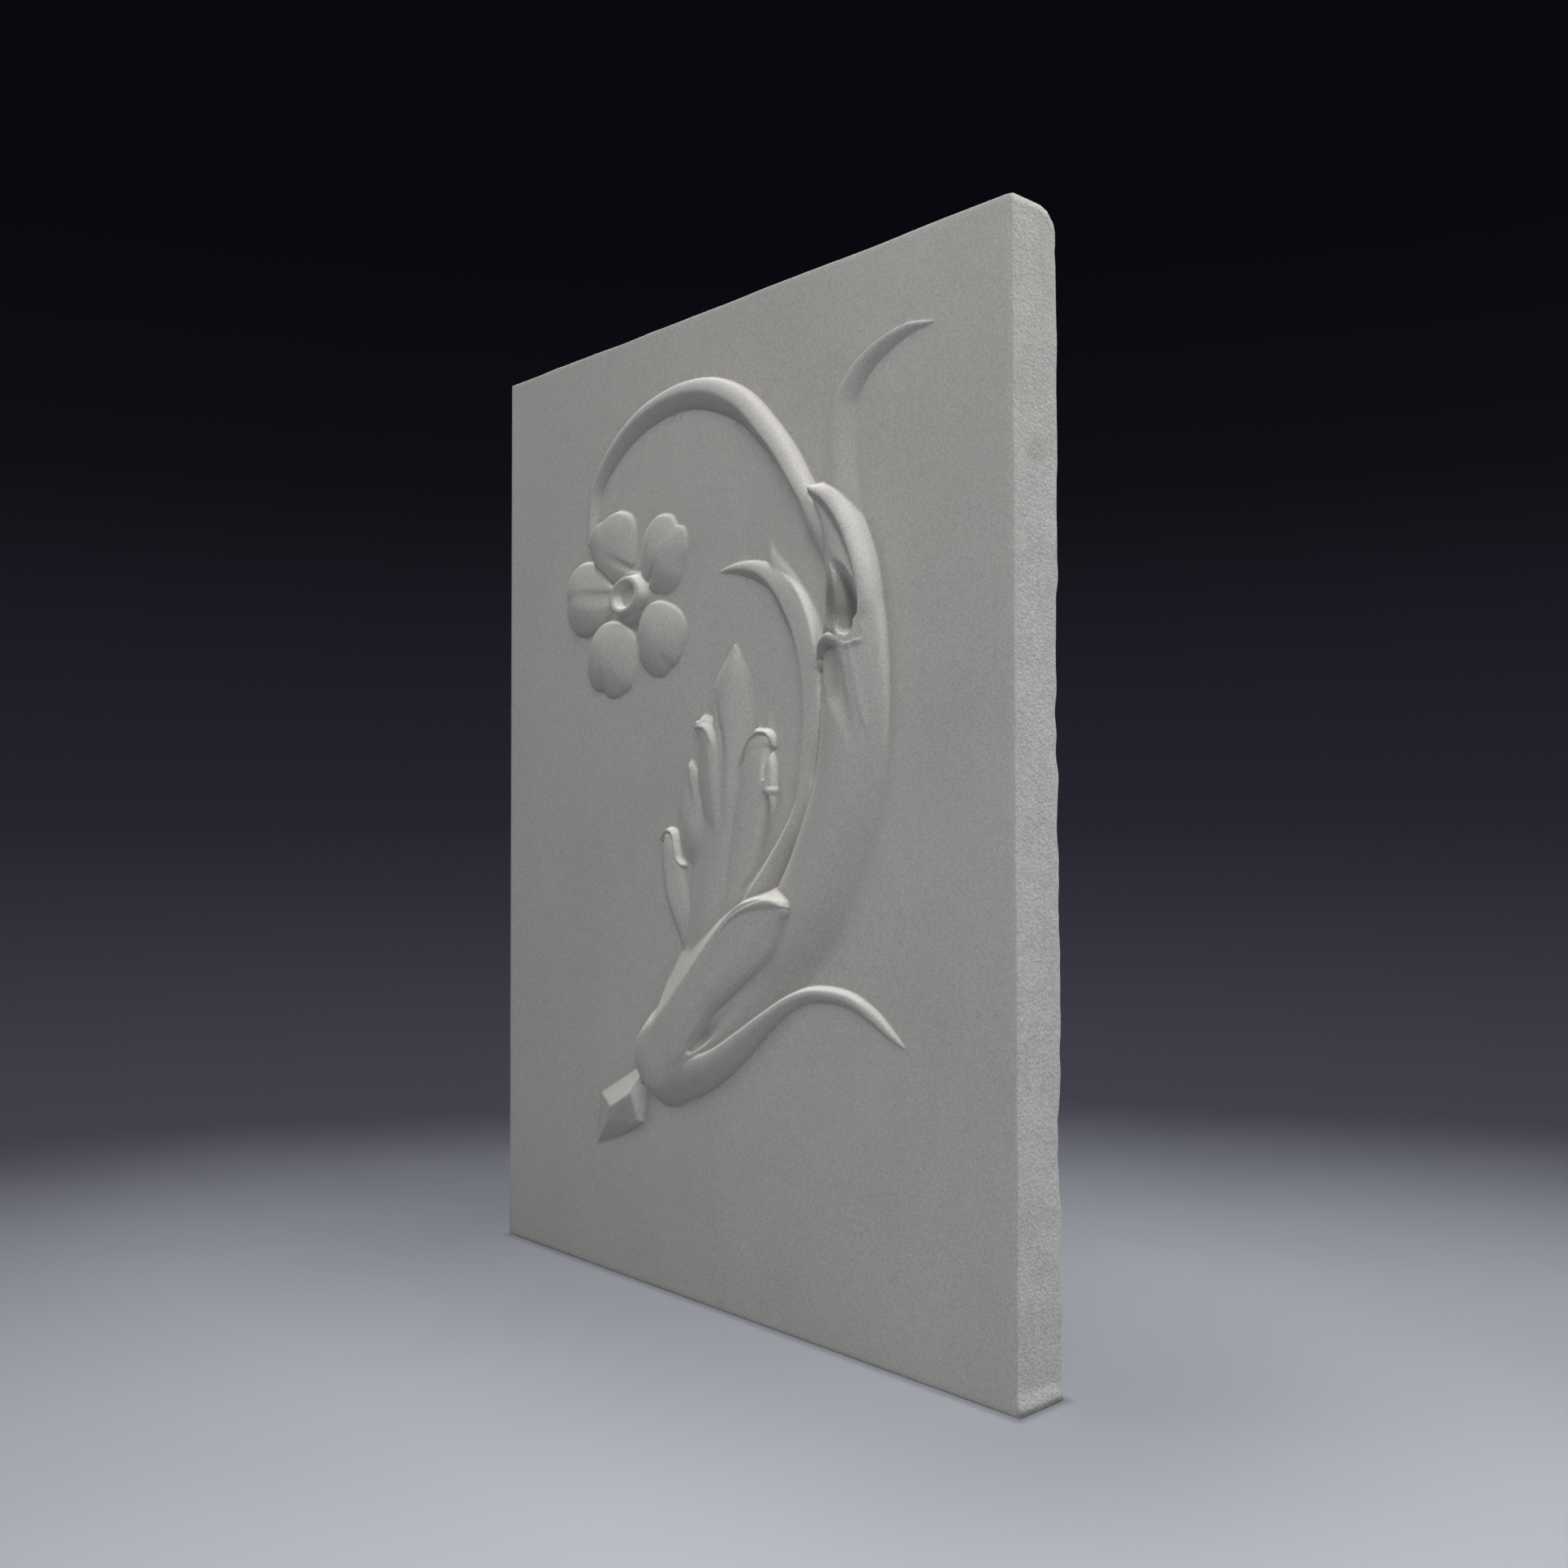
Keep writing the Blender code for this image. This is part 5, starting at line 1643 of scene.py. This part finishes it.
    def grimed(self, wires: Wiring, colour: Socket, grain: Socket) -> Socket:
        """Speckles the colour, and paints shade where the surface looks down and paints light where it looks up.

        Args:
            wires: The material's wiring.
            colour: The colour.
            grain: The tone of the grain.

        Returns:
            The new colour.
        """
        normal = wires.node("ShaderNodeTexCoord").outputs["Normal"]
        up = wires.node("ShaderNodeSeparateXYZ", Vector=normal).outputs["Z"]
        # painted shade where the surface faces down, painted light where it faces up
        under = wires.fade(up, self.under_reach, self.under_share, 1.0)
        over = wires.fade(up, self.over_reach, 1.0, self.over_share)
        speckle = wires.math("MULTIPLY_ADD", wires.math("SUBTRACT", grain, 0.5), self.speckle, 1.0)
        share = wires.math("MULTIPLY", wires.math("MULTIPLY", under, over), speckle)
        return wires.vector("SCALE", colour, Scale=share)


@dataclass(frozen=True)
class StudioFloor:
    """A large pale matt floor with a painted pool of light: its colour is paler near a point by the camera's foot
    and darker further off, and it fades out softly into the dark of the room.

    A painted contact shadow makes its tone darker close to the slab: softly over the contact reach, and as a line
    over the line reach.
    """

    effects: Effects
    name: str = "studio_floor"
    size: float = 14.0
    near: Colour = (0.480, 0.497, 0.548, 1.0)
    far: Colour = (0.330, 0.344, 0.385, 1.0)
    centre: Point = (0.491, -0.363, 0.0)
    near_reach: Pair = (0.36, 0.66)
    edge_reach: Pair = (0.56, 1.10)
    cloud: float = 0.06
    roughness: float = 0.85
    grain_lift: float = 0.00004
    # Painted contact shadow round the slab's foot.
    foot_half: Pair = (0.150, 0.0125)
    contact_reach: Pair = (0.0, 0.16)
    contact_share: float = 0.72
    line_reach: Pair = (0.0, 0.004)
    line_share: float = 0.65

    def build(self) -> bpy.types.Object:
        """Lays the floor.

        Returns:
            The floor.
        """
        bpy.ops.object.select_all(action="DESELECT")
        bpy.ops.mesh.primitive_plane_add(size=self.size, location=(0, 0, 0))
        floor = bpy.context.object
        floor.name = self.name
        material, wires, shader = new_material(self.name)
        place = wires.node("ShaderNodeTexCoord").outputs["Object"]
        patches = wires.effect(self.effects.mottle, Vector=place, Scale=4.0, Contrast=1.4)["Tone"]
        grain = wires.effect(self.effects.grain, Vector=place, Fine=900.0, Coarse=240.0)["Tone"]
        # painted pool of light: paler near its centre point, darker further off
        distance = wires.math("MULTIPLY_ADD", patches, self.cloud, wires.vector("DISTANCE", place, self.centre))
        colour = wires.mix(wires.fade(distance, self.near_reach), self.near, self.far)
        bump = wires.node("ShaderNodeBump", Height=grain, Distance=self.grain_lift)
        # painted contact shadow near the slab's foot
        wires.fill(shader["Base Color"], wires.vector("SCALE", colour, Scale=self.contact(wires, place)))
        wires.fill(shader["Alpha"], wires.fade(distance, self.edge_reach, 1.0, 0.0))
        wires.fill(shader["Normal"], bump.outputs["Normal"])
        wires.fill(shader["Roughness"], self.roughness)
        floor.data.materials.append(material)
        return floor

    def contact(self, wires: Wiring, place: Socket) -> Socket:
        """How much of the floor's tone the painted contact shadow leaves close to the foot of the slab.

        Args:
            wires: The material's wiring.
            place: Places on the floor.

        Returns:
            The share.
        """
        axes = wires.node("ShaderNodeSeparateXYZ", Vector=place).outputs
        square = 0.0
        for axis, half in zip("XY", self.foot_half):
            beyond = wires.math("MAXIMUM", wires.math("SUBTRACT", wires.math("ABSOLUTE", axes[axis]), half), 0.0)
            square = wires.math("MULTIPLY_ADD", beyond, beyond, square)
        distance = wires.math("SQRT", square)
        wide = wires.fade(distance, self.contact_reach, self.contact_share)
        return wires.math("MULTIPLY", wide, wires.fade(distance, self.line_reach, self.line_share))


@dataclass(frozen=True)
class Softbox:
    """A square area light aimed at a point."""

    name: str
    place: Point
    size: float
    power: float
    shadow: bool = True
    target: Point = (0.0, 0.0, 0.15)

    def build(self) -> None:
        """Hangs the light, out of the camera's sight."""
        light = bpy.data.lights.new(self.name, "AREA")
        light.shape = "SQUARE"
        light.size = self.size
        light.energy = self.power
        light.use_shadow = self.shadow
        lamp = bpy.data.objects.new(self.name, light)
        lamp.visible_camera = False
        aim = Vector(self.target) - Vector(self.place)
        lamp.matrix_world = Matrix.Translation(self.place) @ aim.to_track_quat("-Z", "Y").to_matrix().to_4x4()
        bpy.context.scene.collection.objects.link(lamp)


@dataclass(frozen=True)
class StudioCamera:
    """The camera, at the place and turn that the slab's own straight edges give for the photograph."""

    name: str = "camera"
    place: Point = (0.45667, -0.40049, 0.19306)
    azimuth: float = -47.07
    tilt: float = 1.405
    roll: float = -0.094
    lens: float = 34.53
    sensor: float = 36.0
    clip: Pair = (0.01, 100.0)

    def build(self) -> None:
        """Sets the camera up and makes it the scene's own."""
        data = bpy.data.cameras.new(self.name)
        data.lens = self.lens
        data.sensor_width = self.sensor
        data.clip_start, data.clip_end = self.clip
        camera = bpy.data.objects.new(self.name, data)
        turn = Euler((math.radians(90 + self.tilt), 0, -math.radians(self.azimuth)), "XYZ").to_matrix()
        spin = Matrix.Rotation(math.radians(self.roll), 3, "Z")
        camera.matrix_world = Matrix.Translation(self.place) @ (turn @ spin).to_4x4()
        bpy.context.scene.collection.objects.link(camera)
        bpy.context.scene.camera = camera


@dataclass(frozen=True)
class Studio:
    """The dark room with its softboxes. The backdrop's tones are for the sine of the angle above the horizon."""

    backdrop: tuple[tuple[float, Colour], ...] = (
        (-0.45, (0.0900, 0.0900, 0.1130, 1.0)),
        (-0.155, (0.0497, 0.0497, 0.0666, 1.0)),
        (0.0, (0.0194, 0.0176, 0.0273, 1.0)),
        (0.216, (0.0052, 0.0048, 0.0075, 1.0)),
        (0.36, (0.0033, 0.0027, 0.0048, 1.0)),
    )
    lights: tuple[Softbox, ...] = (
        Softbox("softbox_above", (0.25, -0.32, 1.20), 0.45, 3.5, shadow=False),
        Softbox("softbox_front_right", (0.62, -0.55, 0.66), 0.50, 1.7),
        Softbox("softbox_front_left", (-0.75, -0.85, 0.90), 0.60, 2.0),
        Softbox("softbox_back_left", (-0.86, 0.39, 1.10), 0.50, 9.5, shadow=False),
        Softbox("softbox_back_right", (0.66, 0.62, 1.10), 0.50, 10.0, shadow=False),
    )

    def build(self) -> None:
        """Lights the room and sets the picture's tone."""
        scene = bpy.context.scene
        scene.view_settings.view_transform = "Standard"
        world = bpy.data.worlds.new("dark_room")
        world.use_nodes = True
        wires = Wiring(world.node_tree)
        direction = wires.node("ShaderNodeTexCoord").outputs["Generated"]
        up = wires.node("ShaderNodeSeparateXYZ", Vector=direction).outputs["Z"]
        ramp = wires.node("ShaderNodeValToRGB", Fac=wires.math("ADD", up, 0.5))
        elements = ramp.color_ramp.elements
        elements.remove(elements[0])
        for index, (height, colour) in enumerate(self.backdrop):
            element = elements[0] if index == 0 else elements.new(height + 0.5)
            element.position = height + 0.5
            element.color = colour
        wires.fill(world.node_tree.nodes["Background"].inputs["Color"], ramp.outputs["Color"])
        scene.world = world
        for light in self.lights:
            light.build()


def main() -> None:
    """Builds the studio and the relief.
    """
    logging.basicConfig(level=logging.INFO, format="%(name)s: %(message)s")
    effects = Effects()
    StudioCamera().build()
    Studio().build()
    StudioFloor(effects).build()
    relief = Relief().build(CastPlaster(effects))
    log.info("%s: %d points", relief.name, len(relief.data.vertices))


if __name__ == "__main__":
    main()
